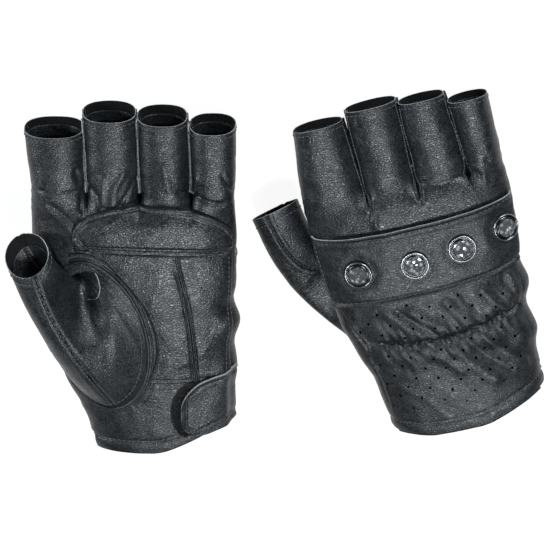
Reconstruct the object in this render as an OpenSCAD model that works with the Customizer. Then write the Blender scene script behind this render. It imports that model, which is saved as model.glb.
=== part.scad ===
// A pair of fingerless leather gloves. The left glove lies palm up and the right glove palm down.
// Each glove is described once in a frame of its own: +X to the little finger, +Y to the fingertips,
// y = 0 at the finger crotches, +Z out of the palm. The right glove is its mirror image.

/* [Leather] */
// Thickness of the leather
leather_t = 1.3; // [1.0:0.1:1.5]
// Gap between layers that lie on each other
layer_gap = 0.1; // [0.05:0.05:0.2]

/* [Hand] */
// Half thickness of the glove at the middle of the palm
palm_half = 14.5; // [13:0.5:16]
// Half thickness of the glove at the wrist edge
wrist_half = 16; // [14:0.5:18]
// Half thickness of the finger stalls at their rims
finger_half = 10.5; // [9.5:0.5:11.5]
// How much shorter a stall is cut on the palm side than on the back
rim_cut = 3.3; // [0:0.1:6]
// Width of the turned-in hems
hem_w = 7; // [5:1:9]

/* [Palm pad] */
// Height of the foam under the upper palm patch
foam_h = 2.4; // [1:0.2:3]

/* [Studs] */
// Outer diameter of a stud
stud_d = 14; // [11:0.5:15]
// Height of a stud above the knuckle band
stud_h = 3.6; // [2.5:0.1:4.5]
// Diameter of the rivet post behind a stud
post_d = 3; // [2:0.5:4]

/* [Strap] */
// Width of the wrist strap
strap_w = 28; // [22:1:30]
// Distance across the palm from the middle line to the strap's free end
strap_reach = 20.5; // [16:0.5:24]

/* [Placing] */
// Turn of the right glove about the vertical
right_turn = 14.5; // [8:0.5:20]

/* [Hidden] */
LEFT = 0;
RIGHT = 1;
// Exponent of the rounded cross-section
ROUND = 2.4;
FINE = 48;

// Where the middle of each glove's crotch line stands
glove_place = [[-72.14, 43.13, 19.86], [59.36, 51.73, 20.01]];

// Edges of the hand as [y, x]: the thumb side and the little finger side of each glove
radial_edge = [
    [
        [-140, -22], [-128, -24], [-118, -28], [-104, -36], [-88, -42],
        [-70, -47], [-50, -50], [-30, -51.5], [0, -52]
    ],
    [
        [-140, -35], [-123, -38.5], [-104, -40.5], [-90, -44.5],
        [-75, -48], [-60, -50.5], [-30, -52], [0, -51.5]
    ]
];
ulnar_edge = [
    [[-140, 46.5], [-125, 47], [-110, 47.5], [-94, 48], [-60, 49.5], [-30, 50.2], [0, 49.6]],
    [[-140, 42], [-127, 43], [-104, 44], [-78, 44.5], [-54, 48], [-40, 49.5], [-16, 51], [0, 50.6]]
];

// How far the middle of the thickness leaves the straight, as [y, z]
sag = [
    [[-140, -3.6], [-110, -2.4], [-60, 0], [0, 0], [45, -3]],
    [[-140, 0], [-60, 0.6], [-15, 2.4], [45, 5]]
];

half_thickness = [
    [-140, wrist_half], [-110, wrist_half - 0.6], [-80, palm_half + 0.5],
    [-40, palm_half], [-14, palm_half - 1], [0, palm_half - 2.5]
];

// Finger stalls from the index finger on: [middle and half width at the crotch, the same at the rim, length]
fingers = [
    [[-38.2, 13.7, -40.6, 14.6, 34.5], [-11.2, 13.1, -12.4, 13.2, 42.5],
     [14.8, 12.7, 13.6, 12.5, 40.5], [38.6, 11, 38.3, 11.6, 36]],
    [[-35.6, 15.8, -34, 12.4, 36], [-6.8, 12.8, -6.4, 13, 40],
     [19.2, 13, 18.4, 11.6, 37.5], [41.5, 9.1, 40.7, 10.2, 32.5]]
];
finger_count = 4;
// Half thickness of the stalls at the crotch, and where the hand starts to divide into stalls
stall_base_half = 11;
knuckle_y = -14;
// Directions round a stall at which the palm panel has its points, and its edge on each side
panel_dirs = [160, 125, 90, 55, 20];
strip_dirs = [20, 8, -8, -20];

// The thumb hole as [middle x, middle y, half width, half length, turn]
thumb_hole = [[-18.5, -76, 22, 38.5, 12], [-33.5, -70, 10.5, 31, 5]];
// The ring that pulls the thumb stall along, and the ring at its rim: [middle, direction, two radii]
thumb_bend = [
    [[-41, -62, 25], [-0.5, 0.7, 0.5], 16.5, 18.5],
    [[-61.5, -60, 13.5], [-0.6, 0.75, 0.2], 13, 10]
];
thumb_rim = [
    [[-53.5, -26, 21], [-0.35, 0.55, 0.75], 11.8, 11.4],
    [[-66.2, -6, 7.5], [-0.2, 0.95, 0.25], 12.6, 8.5]
];
thumb_seat = 0.9;
// Direction in which the thumb's gusset lies, and its height over the stall
gusset_dir = [60, -25];
gusset_lift = 0.3;

// Rows of the panels
cuff_top = -104;
band_seam = -58;
palm_rows = [-104, -96, -88, -80, -72, -64, -56, -48, -40, -32, -24, -16, -9, -4, 0];
back_rows = [-58, -49, -40, -31, -22, -14, -8, -3, 0];
stall_rows = [0.25, 0.5, 0.75, 1];
index_strip_rows = [-32, -20, -9, 0];
radial_rows = [-133, -114, -96, -78, -60, -32.2];
side_rows = [-125, -114, -104, -92, -80, -68, -56, -44, -32, -20, -9, 0];
hem_y = -138;
hem_rise = [14, 9.5];

// Patches on the palm, as [y, x] for their edges
heel_seam_edge = [[-99, 28.5], [-58, 24.5], [-32, 19.3]];
heel_inner_edge = [
    [[-99, 7], [-87, 10], [-75, 10], [-65, 7], [-53, 1], [-39, -10], [-32, -16]],
    [[-99, -22], [-87, -19], [-70, -18], [-53, -20], [-39, -25], [-32, -29]]
];
heel_rows = [-99, -90, -81, -72, -63, -54, -45, -38, -32];
pad_left = -30;
pad_right = 46;

// Stud places as [x, y]
stud_places = [[-31.7, -42], [-4, -43], [20, -40.5], [42.5, -37]];
strap_root_y = -108.5;
strap_tip_y = -116.5;
patch_t = 1.1;
strap_lift = 2.9;
band_lift = 0.2;
// Height of the padded patch and of the loop patch over the palm
pad_lift = 0.4;
loop_lift = 0.4;
// Room between a turned-in hem and the panel outside it
hem_gap = 0.3;
elastic_rows = [-89, -82];
pad_cells = 10;
// Gap under a stud's flange, and the length of its post
stud_lift = 0.2;
post_h = 5.4;

leather = [0.17, 0.18, 0.2];
leather_light = [0.24, 0.25, 0.27];
textile = [0.06, 0.06, 0.07];
gunmetal = [0.55, 0.56, 0.58];
crystal = [0.1, 0.1, 0.12];
foam = [0.4, 0.4, 0.38];

function clamp01(t) = min(max(t, 0), 1);
function smooth(t) = let (c = clamp01(t)) c * c * (3 - 2 * c);
function lerp(a, b, t) = a + (b - a) * t;
function unit(v) = v / norm(v);
function bow(v) = sign(v) * pow(abs(v), 2 / ROUND);
function dome(t) = pow(max(0, 1 - pow(abs(t), ROUND)), 1 / ROUND);
function spread(a, b, count) = [for (i = [0:count]) lerp(a, b, i / count)];

// The hand's cross-section
function mid_x(g, y) = (lookup(y, radial_edge[g]) + lookup(y, ulnar_edge[g])) / 2;
function half_w(g, y) = (lookup(y, ulnar_edge[g]) - lookup(y, radial_edge[g])) / 2;
function hand_z(g, x, y, d) = (lookup(y, half_thickness) + d) * dome((x - mid_x(g, y)) / (half_w(g, y) + d));
function hem_line(g, x) = hem_y + hem_rise[g] * smooth((x - 6) / 42) + 3 * g * smooth((-15 - x) / 20);

// The stalls' cross-sections
function stall(g, k, y) =
    let (f = fingers[g][k], t = clamp01(y / f[4]))
    [lerp(f[0], f[2], t), lerp(f[1], f[3], t), lerp(stall_base_half, finger_half, t)];
function stall_z(g, k, x, y, d) = let (s = stall(g, k, y)) (s[2] + d) * dome((x - s[0]) / (s[1] + d));
function stall_point(g, k, dir, row, d) =
    let (
        rim = fingers[g][k][4] - rim_cut * (1 + bow(sin(dir))) / 2,
        y = row * rim,
        s = stall(g, k, y)
    )
    [s[0] + (s[1] + d) * bow(cos(dir)), y, (s[2] + d) * bow(sin(dir)) + lookup(y, sag[g])];

// Height of the palm side, d outside the glove's outer surface. side is 1 for the palm, -1 for the back
function skin_z(g, x, y, d) =
    let (
        part = smooth((y - knuckle_y) / -knuckle_y),
        lobes = max([for (k = [0:finger_count - 1]) stall_z(g, k, x, y, d)])
    )
    max(lerp(hand_z(g, x, y, d), lobes, part), leather_t + layer_gap + d);
function skin(g, side, x, y, d) =
    let (m = mid_x(g, y), xd = m + (x - m) * (half_w(g, y) + d) / half_w(g, y))
    [xd, y, side * skin_z(g, xd, y, d) + lookup(y, sag[g])];

// Columns of the panels that run into the stalls: [finger, direction], or [finger, -1] for a crotch
columns = [
    for (k = [0:finger_count - 1])
        each concat([for (a = panel_dirs) [k, a]], k < finger_count - 1 ? [[k, -1]] : [])
];
last_column = len(columns) - 1;
function crotch_x(g, k) =
    (fingers[g][k][0] + fingers[g][k][1] + fingers[g][k + 1][0] - fingers[g][k + 1][1]) / 2;
function column_x0(g, c) =
    c[1] < 0 ? crotch_x(g, c[0]) : fingers[g][c[0]][0] + fingers[g][c[0]][1] * bow(cos(c[1]));
function edge_share(g) = (mid_x(g, 0) - column_x0(g, columns[0])) / half_w(g, 0);
function column_x(g, j, y) =
    let (
        at_crotch = (column_x0(g, columns[j]) - mid_x(g, 0)) / half_w(g, 0),
        even = edge_share(g) * sin(lerp(-75, 75, j / last_column)) / sin(75)
    )
    mid_x(g, y) + half_w(g, y) * lerp(even, at_crotch, smooth((y + 34) / 30));

// The thumb hole: place of a point round it, and how far a point lies from its middle (1 is on its edge)
function hole_point(g, dir, grow) =
    let (h = thumb_hole[g], p = (h[2] + grow) * cos(dir), q = (h[3] + grow) * sin(dir))
    [h[0] + p * cos(h[4]) - q * sin(h[4]), h[1] + p * sin(h[4]) + q * cos(h[4])];
function hole_share(g, at) =
    let (h = thumb_hole[g], v = at - [h[0], h[1]])
    norm([(v[0] * cos(h[4]) + v[1] * sin(h[4])) / h[2], (v[1] * cos(h[4]) - v[0] * sin(h[4])) / h[3]]);

// Closed solid between two grids of points. Cells that keep says false of are left out
module sheet(outer, inner, keep = [], ring = false) {
    rows = len(outer);
    cols = len(outer[0]);
    total = rows * cols;
    function id(i, j) = i * cols + j % cols;
    function on(i, j) =
        i >= 0 && i < rows - 1 && (ring || (j >= 0 && j < cols - 1)) && (len(keep) == 0 || keep[i][j]);
    points = concat([for (row = outer) each row], [for (row = inner) each row]);
    faces = [
        for (i = [0:rows - 2])
            for (j = [0:ring ? cols - 1 : cols - 2])
                if (on(i, j))
                    each concat(
                        [[id(i, j), id(i + 1, j), id(i + 1, j + 1), id(i, j + 1)]],
                        [[for (p = [id(i, j), id(i, j + 1), id(i + 1, j + 1), id(i + 1, j)]) total + p]],
                        wall(on(i - 1, j), id(i, j), id(i, j + 1), total),
                        wall(on(i + 1, j), id(i + 1, j + 1), id(i + 1, j), total),
                        wall(ring || on(i, j - 1), id(i + 1, j), id(i, j), total),
                        wall(ring || on(i, j + 1), id(i, j + 1), id(i + 1, j + 1), total)
                    )
    ];
    polyhedron(points, faces, convexity = 8);
}
function wall(joined, a, b, total) = joined ? [] : [[a, b, total + b, total + a]];

// A layer on the glove over a grid of [x, y] places, from height lo to height hi above its outer surface
module layer(g, side, grid, lo, hi) {
    function at(d) = [for (row = grid) [for (p = row) skin(g, side, p[0], p[1], d)]];
    if (side > 0) {
        sheet(at(hi), at(lo));
    } else {
        sheet(at(lo), at(hi));
    }
}

// A panel of the palm or the back with its halves of the four stalls
module trank(g, side, ys, hole) {
    plain = [for (y = ys) [for (j = [0:last_column]) [column_x(g, j, y), y]]];
    hand_cells = len(ys) - 1;
    function in_hole(i, j) =
        hole && i >= 0 && i < hand_cells && j >= 0 && j < last_column
        && hole_share(g, (plain[i][j] + plain[i + 1][j + 1]) / 2) < 1;
    function on_edge(i, j) =
        let (n = [for (a = [i - 1, i]) for (b = [j - 1, j]) if (in_hole(a, b)) 1])
        len(n) > 0 && len(n) < 4;
    function settled(i, j) =
        let (h = [thumb_hole[g][0], thumb_hole[g][1]])
        on_edge(i, j) ? h + (plain[i][j] - h) / hole_share(g, plain[i][j]) : plain[i][j];
    function stall_vertex(k, dir, row, d) =
        let (p = stall_point(g, k, dir, row, d)) side > 0 ? p : stall_point(g, k, -dir, row, d);
    function vertex(i, j, d) =
        i < hand_cells || columns[j][1] < 0
            ? let (p = settled(min(i, hand_cells), j)) skin(g, side, p[0], p[1], d)
            : stall_vertex(
                columns[j][0], columns[j][1], i > hand_cells ? stall_rows[i - hand_cells - 1] : 0, d
            );
    row_count = len(ys) + len(stall_rows);
    keep = [
        for (i = [0:row_count - 2])
            [for (j = [0:last_column - 1])
                i < hand_cells ? !in_hole(i, j) : columns[j][1] > 0 && columns[j + 1][1] > 0]
    ];
    outer = [for (i = [0:row_count - 1]) [for (j = [0:last_column]) vertex(i, j, 0)]];
    inner = [for (i = [0:row_count - 1]) [for (j = [0:last_column]) vertex(i, j, -leather_t)]];
    color(leather) {
        if (side > 0) sheet(outer, inner, keep);
        if (side < 0) sheet(inner, outer, keep);
    }
}
module palm_trank(g) trank(g, 1, palm_rows, true);
module back_trank(g) trank(g, -1, back_rows, false);

// The part of a panel below the trank, down to the wrist edge
module cuff(g, side, top) {
    shares = [for (i = [0:14]) sin(lerp(-75, 75, i / 14)) / sin(75) * edge_share(g)];
    levels = side > 0 ? 4 : 8;
    function place(share, v) =
        let (
            x0 = mid_x(g, top) + share * half_w(g, top),
            low = hem_line(g, mid_x(g, hem_y) + share * half_w(g, hem_y)),
            y = lerp(low, top - layer_gap, v / levels)
        )
        [mid_x(g, y) + share * half_w(g, y), y];
    function layer(d) = [
        for (v = [0:levels]) [for (s = shares) let (p = place(s, v)) skin(g, side, p[0], p[1], d)]
    ];
    if (side > 0) sheet(layer(0), layer(-leather_t));
    if (side < 0) sheet(layer(-leather_t), layer(0));
}
module palm_cuff(g) color(leather) cuff(g, 1, cuff_top);
module back_cuff_panel(g) color(leather_light) cuff(g, -1, band_seam);

// A strip along one edge of the glove between the palm and back panels, through the given rows
module edge_strip(g, hand, ys, finger) {
    // hand is 1 on the little finger side and -1 on the thumb side
    j = hand > 0 ? last_column : 0;
    turns = [0.95, 0.5, 0, -0.5, -0.95];
    function edge_point(y, s, d) =
        let (
            x = column_x(g, j, y),
            edge = skin(g, 1, x, y, d),
            middle = mid_x(g, y) + hand * (half_w(g, y) + d),
            z = edge[2] - lookup(y, sag[g])
        )
        [edge[0] + (middle - edge[0]) * (1 - s * s), y, s * z + lookup(y, sag[g])];
    function tip_point(row, s, d) =
        stall_point(g, hand > 0 ? 3 : 0, hand > 0 ? 20 * s : 180 - 20 * s, row, d);
    function layer(d) = concat(
        [for (y = ys) [for (s = turns) edge_point(y, s, d)]],
        finger ? [for (row = stall_rows) [for (s = turns) tip_point(row, s, d)]] : []
    );
    color(leather) {
        if (hand > 0) sheet(layer(0), layer(-leather_t));
        if (hand < 0) sheet(layer(-leather_t), layer(0));
    }
}
module index_side_strip(g) edge_strip(g, -1, index_strip_rows, true);
module radial_side_panel(g) edge_strip(g, -1, radial_rows, false);
module ulnar_side_panel(g) edge_strip(g, 1, side_rows, true);

// The two strips between neighbouring stalls, which meet at the crotch
module fourchette(g, k) {
    function strip(finger, start, turn, d) = [
        for (row = concat([0.01], stall_rows))
            [for (a = strip_dirs) stall_point(g, finger, start + turn * a, row, d)]
    ];
    color(leather) {
        sheet(strip(k, 0, 1, 0), strip(k, 0, 1, -leather_t));
        sheet(strip(k + 1, 180, -1, -leather_t), strip(k + 1, 180, -1, 0));
    }
}
module fourchette_index_middle(g) fourchette(g, 0);
module fourchette_middle_ring(g) fourchette(g, 1);
module fourchette_ring_little(g) fourchette(g, 2);

// Depth of a hem's two faces under the glove's outer face
hem_out = -leather_t - hem_gap;
hem_in = hem_out - leather_t;

// The hem turned into each stall, its corners in line with those of the panels round it
stall_hem_dirs = [20, 8, -8, -20, -55, -90, -125, -160, -172, -188, -200, -235, -270, -305];
module stall_hem(g, k) {
    rows = [1 - hem_w / fingers[g][k][4], 0.99];
    function ring_at(row, d) = [for (a = stall_hem_dirs) stall_point(g, k, a, row, d)];
    sheet([for (r = rows) ring_at(r, hem_out)], [for (r = rows) ring_at(r, hem_in)], ring = true);
}
module finger_hems(g) color(leather_light) for (k = [0:finger_count - 1]) stall_hem(g, k);

// The hem turned in along the wrist edge
module wrist_hem(g) {
    function wrist_point(a, up, d) =
        let (
            x = mid_x(g, hem_y) + half_w(g, hem_y) * bow(cos(a)),
            y = hem_line(g, x) + up,
            m = mid_x(g, y),
            w = half_w(g, y) + d,
            h = lookup(y, half_thickness) + d
        )
        [m + w * bow(cos(a)), y, h * bow(sin(a)) + lookup(y, sag[g])];
    function ring_at(up, d) = [for (a = [0:12:348]) wrist_point(-a, up, d)];
    ups = [0.4, hem_w + 1];
    color(leather_light)
        sheet([for (u = ups) ring_at(u, hem_out)], [for (u = ups) ring_at(u, hem_in)], ring = true);
}

// The elastic that gathers the back of the wrist
module wrist_elastic(g) {
    reach = half_w(g, elastic_rows[0]) - 10;
    xs = spread(mid_x(g, elastic_rows[0]) - reach, mid_x(g, elastic_rows[0]) + reach, 12);
    grid = [for (y = elastic_rows) [for (x = xs) [x, y]]];
    color(textile) layer(g, -1, grid, hem_in, hem_out);
}

// The D-shaped patch over the upper palm, its foam, and the height of both
function pad_low(x) = -26.5 - 0.045 * (x - pad_left);
function pad_high(x) =
    let (middle = (pad_left + pad_right) / 2)
    pad_low(x) + 4 + 20.5 * dome((x - middle) / (pad_right - middle + 1));
function pad_crown(u, v) = foam_h * dome(2 * u - 1) * dome(2 * v - 1);
function pad_grid(g, base, fill) = [
    for (v = [0:pad_cells])
        [for (u = [0:pad_cells])
            let (
                x = lerp(pad_left, pad_right, (1 - cos(180 * u / pad_cells)) / 2),
                y = lerp(pad_low(x), pad_high(x), v / pad_cells)
            )
            skin(g, 1, x, y, base + fill * pad_crown(u / pad_cells, v / pad_cells))]
];
module palm_pad_upper(g)
    color(leather) sheet(pad_grid(g, pad_lift + leather_t, 1), pad_grid(g, pad_lift, 1));
module upper_pad_foam(g) {
    function inset(points) = [for (i = [1:pad_cells - 1]) [for (j = [1:pad_cells - 1]) points[i][j]]];
    top = pad_grid(g, pad_lift - layer_gap, 0.95);
    bottom = pad_grid(g, pad_lift + layer_gap, 0);
    color(foam) sheet(inset(top), inset(bottom));
}

// The two patches on the heel of the palm, either side of the long seam
module heel_patch(g, inner) {
    function low_x(y) = inner ? lookup(y, heel_inner_edge[g]) : lookup(y, heel_seam_edge) + layer_gap;
    function high_x(y) = inner ? lookup(y, heel_seam_edge) - layer_gap : lookup(y, ulnar_edge[g]) - 3;
    grid = [for (y = heel_rows) spread([low_x(y), y], [high_x(y), y], 6)];
    color(leather) layer(g, 1, grid, layer_gap, layer_gap + leather_t);
}
module heel_patch_inner(g) heel_patch(g, true);
module heel_patch_outer(g) heel_patch(g, false);

// The band across the knuckles
function band_high(x) = -18 - 5 * dome(x / 52);
function band_low(x) = -54 - 6.5 * dome((x + 8) / 60);
module knuckle_band(g) {
    dirs = spread(172, 6, 18);
    function place(a, v) =
        let (x = mid_x(g, -40) + half_w(g, -40) * bow(cos(a)), y = lerp(band_low(x), band_high(x), v))
        [mid_x(g, y) + half_w(g, y) * bow(cos(a)), y];
    grid = [for (v = [0:0.2:1]) [for (a = dirs) place(a, v)]];
    color(leather_light) layer(g, -1, grid, band_lift, band_lift + leather_t);
}

// Puts its children at each stud's place, with +Z out of the back of the hand
function band_top(g, p) = skin(g, -1, p[0], p[1], band_lift + leather_t);
module at_studs(g) {
    step = 1;
    for (p = stud_places) {
        across = band_top(g, p + [step, 0]) - band_top(g, p - [step, 0]);
        along = band_top(g, p + [0, step]) - band_top(g, p - [0, step]);
        normal = unit(cross(along, across));
        translate(band_top(g, p))
            rotate([0, acos(normal[2]), atan2(normal[1], normal[0])])
                translate([0, 0, stud_lift])
                    children();
    }
}
seat_d = stud_d - 4;
module stud_setting() {
    rotate_extrude($fn = FINE)
        polygon([
            [0, 0], [stud_d / 2, 0], [stud_d / 2, 0.5], [stud_d / 2 - 0.7, 1.3],
            [seat_d / 2 + 0.5, stud_h - 1.2], [seat_d / 2, stud_h - 1.4], [seat_d / 2, 1], [0, 1]
        ]);
    translate([0, 0, -post_h]) cylinder(d = post_d, h = post_h, $fn = FINE);
}
module stud_settings(g) color(gunmetal) at_studs(g) stud_setting();

// A crystal with a ring of twelve facets under a flat table
crystal_d = seat_d - 0.1;
crystal_wall = stud_h - 2.2;
module stud_crystals(g)
    color(crystal)
        at_studs(g)
            translate([0, 0, 1]) {
                cylinder(d = crystal_d, h = crystal_wall, $fn = 12);
                translate([0, 0, crystal_wall])
                    cylinder(d1 = crystal_d, d2 = seat_d * 0.45, h = 1.2, $fn = 12);
            }
module stud_washers(g)
    color(gunmetal)
        at_studs(g)
            translate([0, 0, -post_h])
                difference() {
                    cylinder(d = post_d + 4, h = 0.8, $fn = FINE);
                    translate([0, 0, -1]) cylinder(d = post_d, h = 3, $fn = FINE);
                }

// The loop patch on the wrist under the strap, from just past the strap's tip
loop_end_x = 41;
module loop_patch(g) {
    xs = spread(strap_reach - 5, loop_end_x, 8);
    grid = [for (v = spread(-0.46, 0.36, 4)) [for (x = xs) [x, strap_mid(x) + v * strap_w]]];
    color(textile) layer(g, 1, grid, loop_lift, loop_lift + patch_t);
}

// The strap: its middle line falls from its root at the glove's edge to its round free end
strap_round = 9;
function strap_mid(x) = lerp(strap_tip_y, strap_root_y, clamp01((x - strap_reach) / 28));
function strap_taper(x) =
    let (into = clamp01((x - strap_reach) / strap_round)) lerp(0.55, 1, sqrt(1 - (1 - into) * (1 - into)));
module strap(g) {
    m = mid_x(g, strap_root_y);
    w = half_w(g, strap_root_y);
    tip_dir = acos(pow((strap_reach - m) / w, ROUND / 2));
    xs = [for (a = spread(tip_dir, 9, 10)) m + w * bow(cos(a))];
    grid = [for (v = [-0.5:0.25:0.5]) [for (x = xs) [x, strap_mid(x) + v * strap_taper(x) * strap_w]]];
    color(leather_light) layer(g, 1, grid, strap_lift, strap_lift + leather_t + 0.2);
}
module hook_patch(g) {
    xs = spread(strap_reach + 3, loop_end_x - 1, 6);
    grid = [for (v = [-0.38, 0, 0.38]) [for (x = xs) [x, strap_mid(x) + v * strap_w]]];
    color(textile) layer(g, 1, grid, strap_lift - patch_t - layer_gap, strap_lift - layer_gap);
}

// The thumb stall: a ring on the palm round the thumb hole, drawn along a bend to the ring at its rim
function ring_axes(dir) =
    let (n = unit(dir), across = unit([1, 0, 0] - n * n[0])) [across, cross(n, across)];
function ring_point(ring, a, d) =
    let (e = ring_axes(ring[1])) ring[0] + (ring[2] + d) * cos(a) * e[0] + (ring[3] + d) * sin(a) * e[1];
function thumb_base(g, a, d) =
    let (p = hole_point(g, a, leather_t + 0.4 + d)) skin(g, 1, p[0], p[1], 0) + [0, 0, thumb_seat];
function thumb_point(g, v, a, d) =
    (1 - v) * (1 - v) * thumb_base(g, a, d)
    + 2 * v * (1 - v) * ring_point(thumb_bend[g], a, d)
    + v * v * ring_point(thumb_rim[g], a, d);
thumb_levels = 8;
thumb_seam_dir = -85;
module thumb_panel(g, from_dir, to_dir) {
    function grid(d) = [
        for (i = [0:thumb_levels])
            [for (a = spread(from_dir, to_dir, 9)) thumb_point(g, i / thumb_levels, a, d)]
    ];
    color(leather) sheet(grid(0), grid(-leather_t));
}
module thumb_front_panel(g) thumb_panel(g, thumb_seam_dir, thumb_seam_dir + 180);
module thumb_back_panel(g) thumb_panel(g, thumb_seam_dir - 180, thumb_seam_dir);
module thumb_hem(g) {
    function ring_at(v, d) = [for (i = [0:17]) thumb_point(g, v, thumb_seam_dir + 20 * i, d)];
    vs = [0.88, 0.99];
    color(leather_light)
        sheet([for (v = vs) ring_at(v, hem_out)], [for (v = vs) ring_at(v, hem_in)], ring = true);
}
// The small triangle set in at the thumb's crotch
function thumb_normal(g, v, a) =
    unit(cross(
        thumb_point(g, v, a + 2, 0) - thumb_point(g, v, a - 2, 0),
        thumb_point(g, v + 0.02, a, 0) - thumb_point(g, v - 0.02, a, 0)
    ));
module thumb_gusset(g) {
    function grid(lift) = [
        for (i = [0:4])
            [for (s = [-1:0.5:1])
                let (v = 0.14 + 0.08 * i, a = gusset_dir[g] + 16 * s * (1 - 0.18 * i))
                thumb_point(g, v, a, 0) + lift * thumb_normal(g, v, a)]
    ];
    color(leather_light) sheet(grid(gusset_lift + 1), grid(gusset_lift));
}

// Draws a sub-part of one glove where that glove lies
module placed(g) {
    translate(glove_place[g])
        rotate([0, 0, g == RIGHT ? right_turn : 0])
            mirror([0, 0, g == RIGHT ? 1 : 0])
                children();
}
placed(LEFT) palm_trank(LEFT);  // left_palm_trank
placed(LEFT) palm_cuff(LEFT);  // left_palm_cuff
placed(LEFT) back_trank(LEFT);  // left_back_trank
placed(LEFT) back_cuff_panel(LEFT);  // left_back_cuff_panel
placed(LEFT) fourchette_index_middle(LEFT);  // left_fourchette_index_middle
placed(LEFT) fourchette_middle_ring(LEFT);  // left_fourchette_middle_ring
placed(LEFT) fourchette_ring_little(LEFT);  // left_fourchette_ring_little
placed(LEFT) index_side_strip(LEFT);  // left_index_side_strip
placed(LEFT) ulnar_side_panel(LEFT);  // left_ulnar_side_panel
placed(LEFT) radial_side_panel(LEFT);  // left_radial_side_panel
placed(LEFT) palm_pad_upper(LEFT);  // left_palm_pad_upper
placed(LEFT) upper_pad_foam(LEFT);  // left_upper_pad_foam
placed(LEFT) heel_patch_inner(LEFT);  // left_heel_patch_inner
placed(LEFT) heel_patch_outer(LEFT);  // left_heel_patch_outer
placed(LEFT) finger_hems(LEFT);  // left_finger_hems
placed(LEFT) wrist_hem(LEFT);  // left_wrist_hem
placed(LEFT) wrist_elastic(LEFT);  // left_wrist_elastic
placed(LEFT) knuckle_band(LEFT);  // left_knuckle_band
placed(LEFT) stud_settings(LEFT);  // left_stud_settings
placed(LEFT) stud_crystals(LEFT);  // left_stud_crystals
placed(LEFT) stud_washers(LEFT);  // left_stud_washers
placed(LEFT) loop_patch(LEFT);  // left_loop_patch
placed(LEFT) thumb_front_panel(LEFT);  // left_thumb_front_panel
placed(LEFT) thumb_back_panel(LEFT);  // left_thumb_back_panel
placed(LEFT) thumb_gusset(LEFT);  // left_thumb_gusset
placed(LEFT) thumb_hem(LEFT);  // left_thumb_hem
placed(LEFT) strap(LEFT);  // left_strap
placed(LEFT) hook_patch(LEFT);  // left_hook_patch
placed(RIGHT) palm_trank(RIGHT);  // right_palm_trank
placed(RIGHT) palm_cuff(RIGHT);  // right_palm_cuff
placed(RIGHT) back_trank(RIGHT);  // right_back_trank
placed(RIGHT) back_cuff_panel(RIGHT);  // right_back_cuff_panel
placed(RIGHT) fourchette_index_middle(RIGHT);  // right_fourchette_index_middle
placed(RIGHT) fourchette_middle_ring(RIGHT);  // right_fourchette_middle_ring
placed(RIGHT) fourchette_ring_little(RIGHT);  // right_fourchette_ring_little
placed(RIGHT) index_side_strip(RIGHT);  // right_index_side_strip
placed(RIGHT) ulnar_side_panel(RIGHT);  // right_ulnar_side_panel
placed(RIGHT) radial_side_panel(RIGHT);  // right_radial_side_panel
placed(RIGHT) palm_pad_upper(RIGHT);  // right_palm_pad_upper
placed(RIGHT) upper_pad_foam(RIGHT);  // right_upper_pad_foam
placed(RIGHT) heel_patch_inner(RIGHT);  // right_heel_patch_inner
placed(RIGHT) heel_patch_outer(RIGHT);  // right_heel_patch_outer
placed(RIGHT) finger_hems(RIGHT);  // right_finger_hems
placed(RIGHT) wrist_hem(RIGHT);  // right_wrist_hem
placed(RIGHT) wrist_elastic(RIGHT);  // right_wrist_elastic
placed(RIGHT) knuckle_band(RIGHT);  // right_knuckle_band
placed(RIGHT) stud_settings(RIGHT);  // right_stud_settings
placed(RIGHT) stud_crystals(RIGHT);  // right_stud_crystals
placed(RIGHT) stud_washers(RIGHT);  // right_stud_washers
placed(RIGHT) loop_patch(RIGHT);  // right_loop_patch
placed(RIGHT) thumb_front_panel(RIGHT);  // right_thumb_front_panel
placed(RIGHT) thumb_back_panel(RIGHT);  // right_thumb_back_panel
placed(RIGHT) thumb_gusset(RIGHT);  // right_thumb_gusset
placed(RIGHT) thumb_hem(RIGHT);  // right_thumb_hem
placed(RIGHT) strap(RIGHT);  // right_strap
placed(RIGHT) hook_patch(RIGHT);  // right_hook_patch
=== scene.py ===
"""Looks of a pair of fingerless leather gloves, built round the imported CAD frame.

Each glove is worked out in millimetres in a frame of its own, as in the CAD model: x to the little
finger, y to the fingertips with y = 0 at the crotches, z out of the palm. to_world() puts it in place.
"""
import math

import bpy
import numpy as np
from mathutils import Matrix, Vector


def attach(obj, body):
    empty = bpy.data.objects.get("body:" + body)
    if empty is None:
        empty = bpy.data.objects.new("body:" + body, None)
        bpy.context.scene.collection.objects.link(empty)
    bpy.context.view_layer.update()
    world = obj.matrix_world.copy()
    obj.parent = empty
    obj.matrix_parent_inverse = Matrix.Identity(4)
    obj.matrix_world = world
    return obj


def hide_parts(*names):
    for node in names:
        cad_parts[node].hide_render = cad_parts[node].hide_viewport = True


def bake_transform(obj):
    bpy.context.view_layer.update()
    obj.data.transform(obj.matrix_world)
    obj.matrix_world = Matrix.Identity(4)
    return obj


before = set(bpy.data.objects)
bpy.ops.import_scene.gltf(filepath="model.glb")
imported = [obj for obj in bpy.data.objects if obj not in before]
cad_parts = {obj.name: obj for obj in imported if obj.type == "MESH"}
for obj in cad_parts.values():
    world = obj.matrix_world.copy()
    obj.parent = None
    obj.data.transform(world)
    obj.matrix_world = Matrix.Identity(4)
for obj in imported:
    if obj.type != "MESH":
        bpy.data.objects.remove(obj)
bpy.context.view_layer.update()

MM = 0.001
LEFT, RIGHT = 0, 1
SIDES = ("left", "right")
PALM, BACK = 1, -1

# ---------------------------------------------------------------- sizes of the glove, in millimetres

# Where the origin of each glove lies in the world, and how far the right one is turned
PLACE = np.array([[-72.14, 43.13, 19.86], [59.36, 51.73, 20.01]])
TURN = math.radians(14.5)
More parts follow.
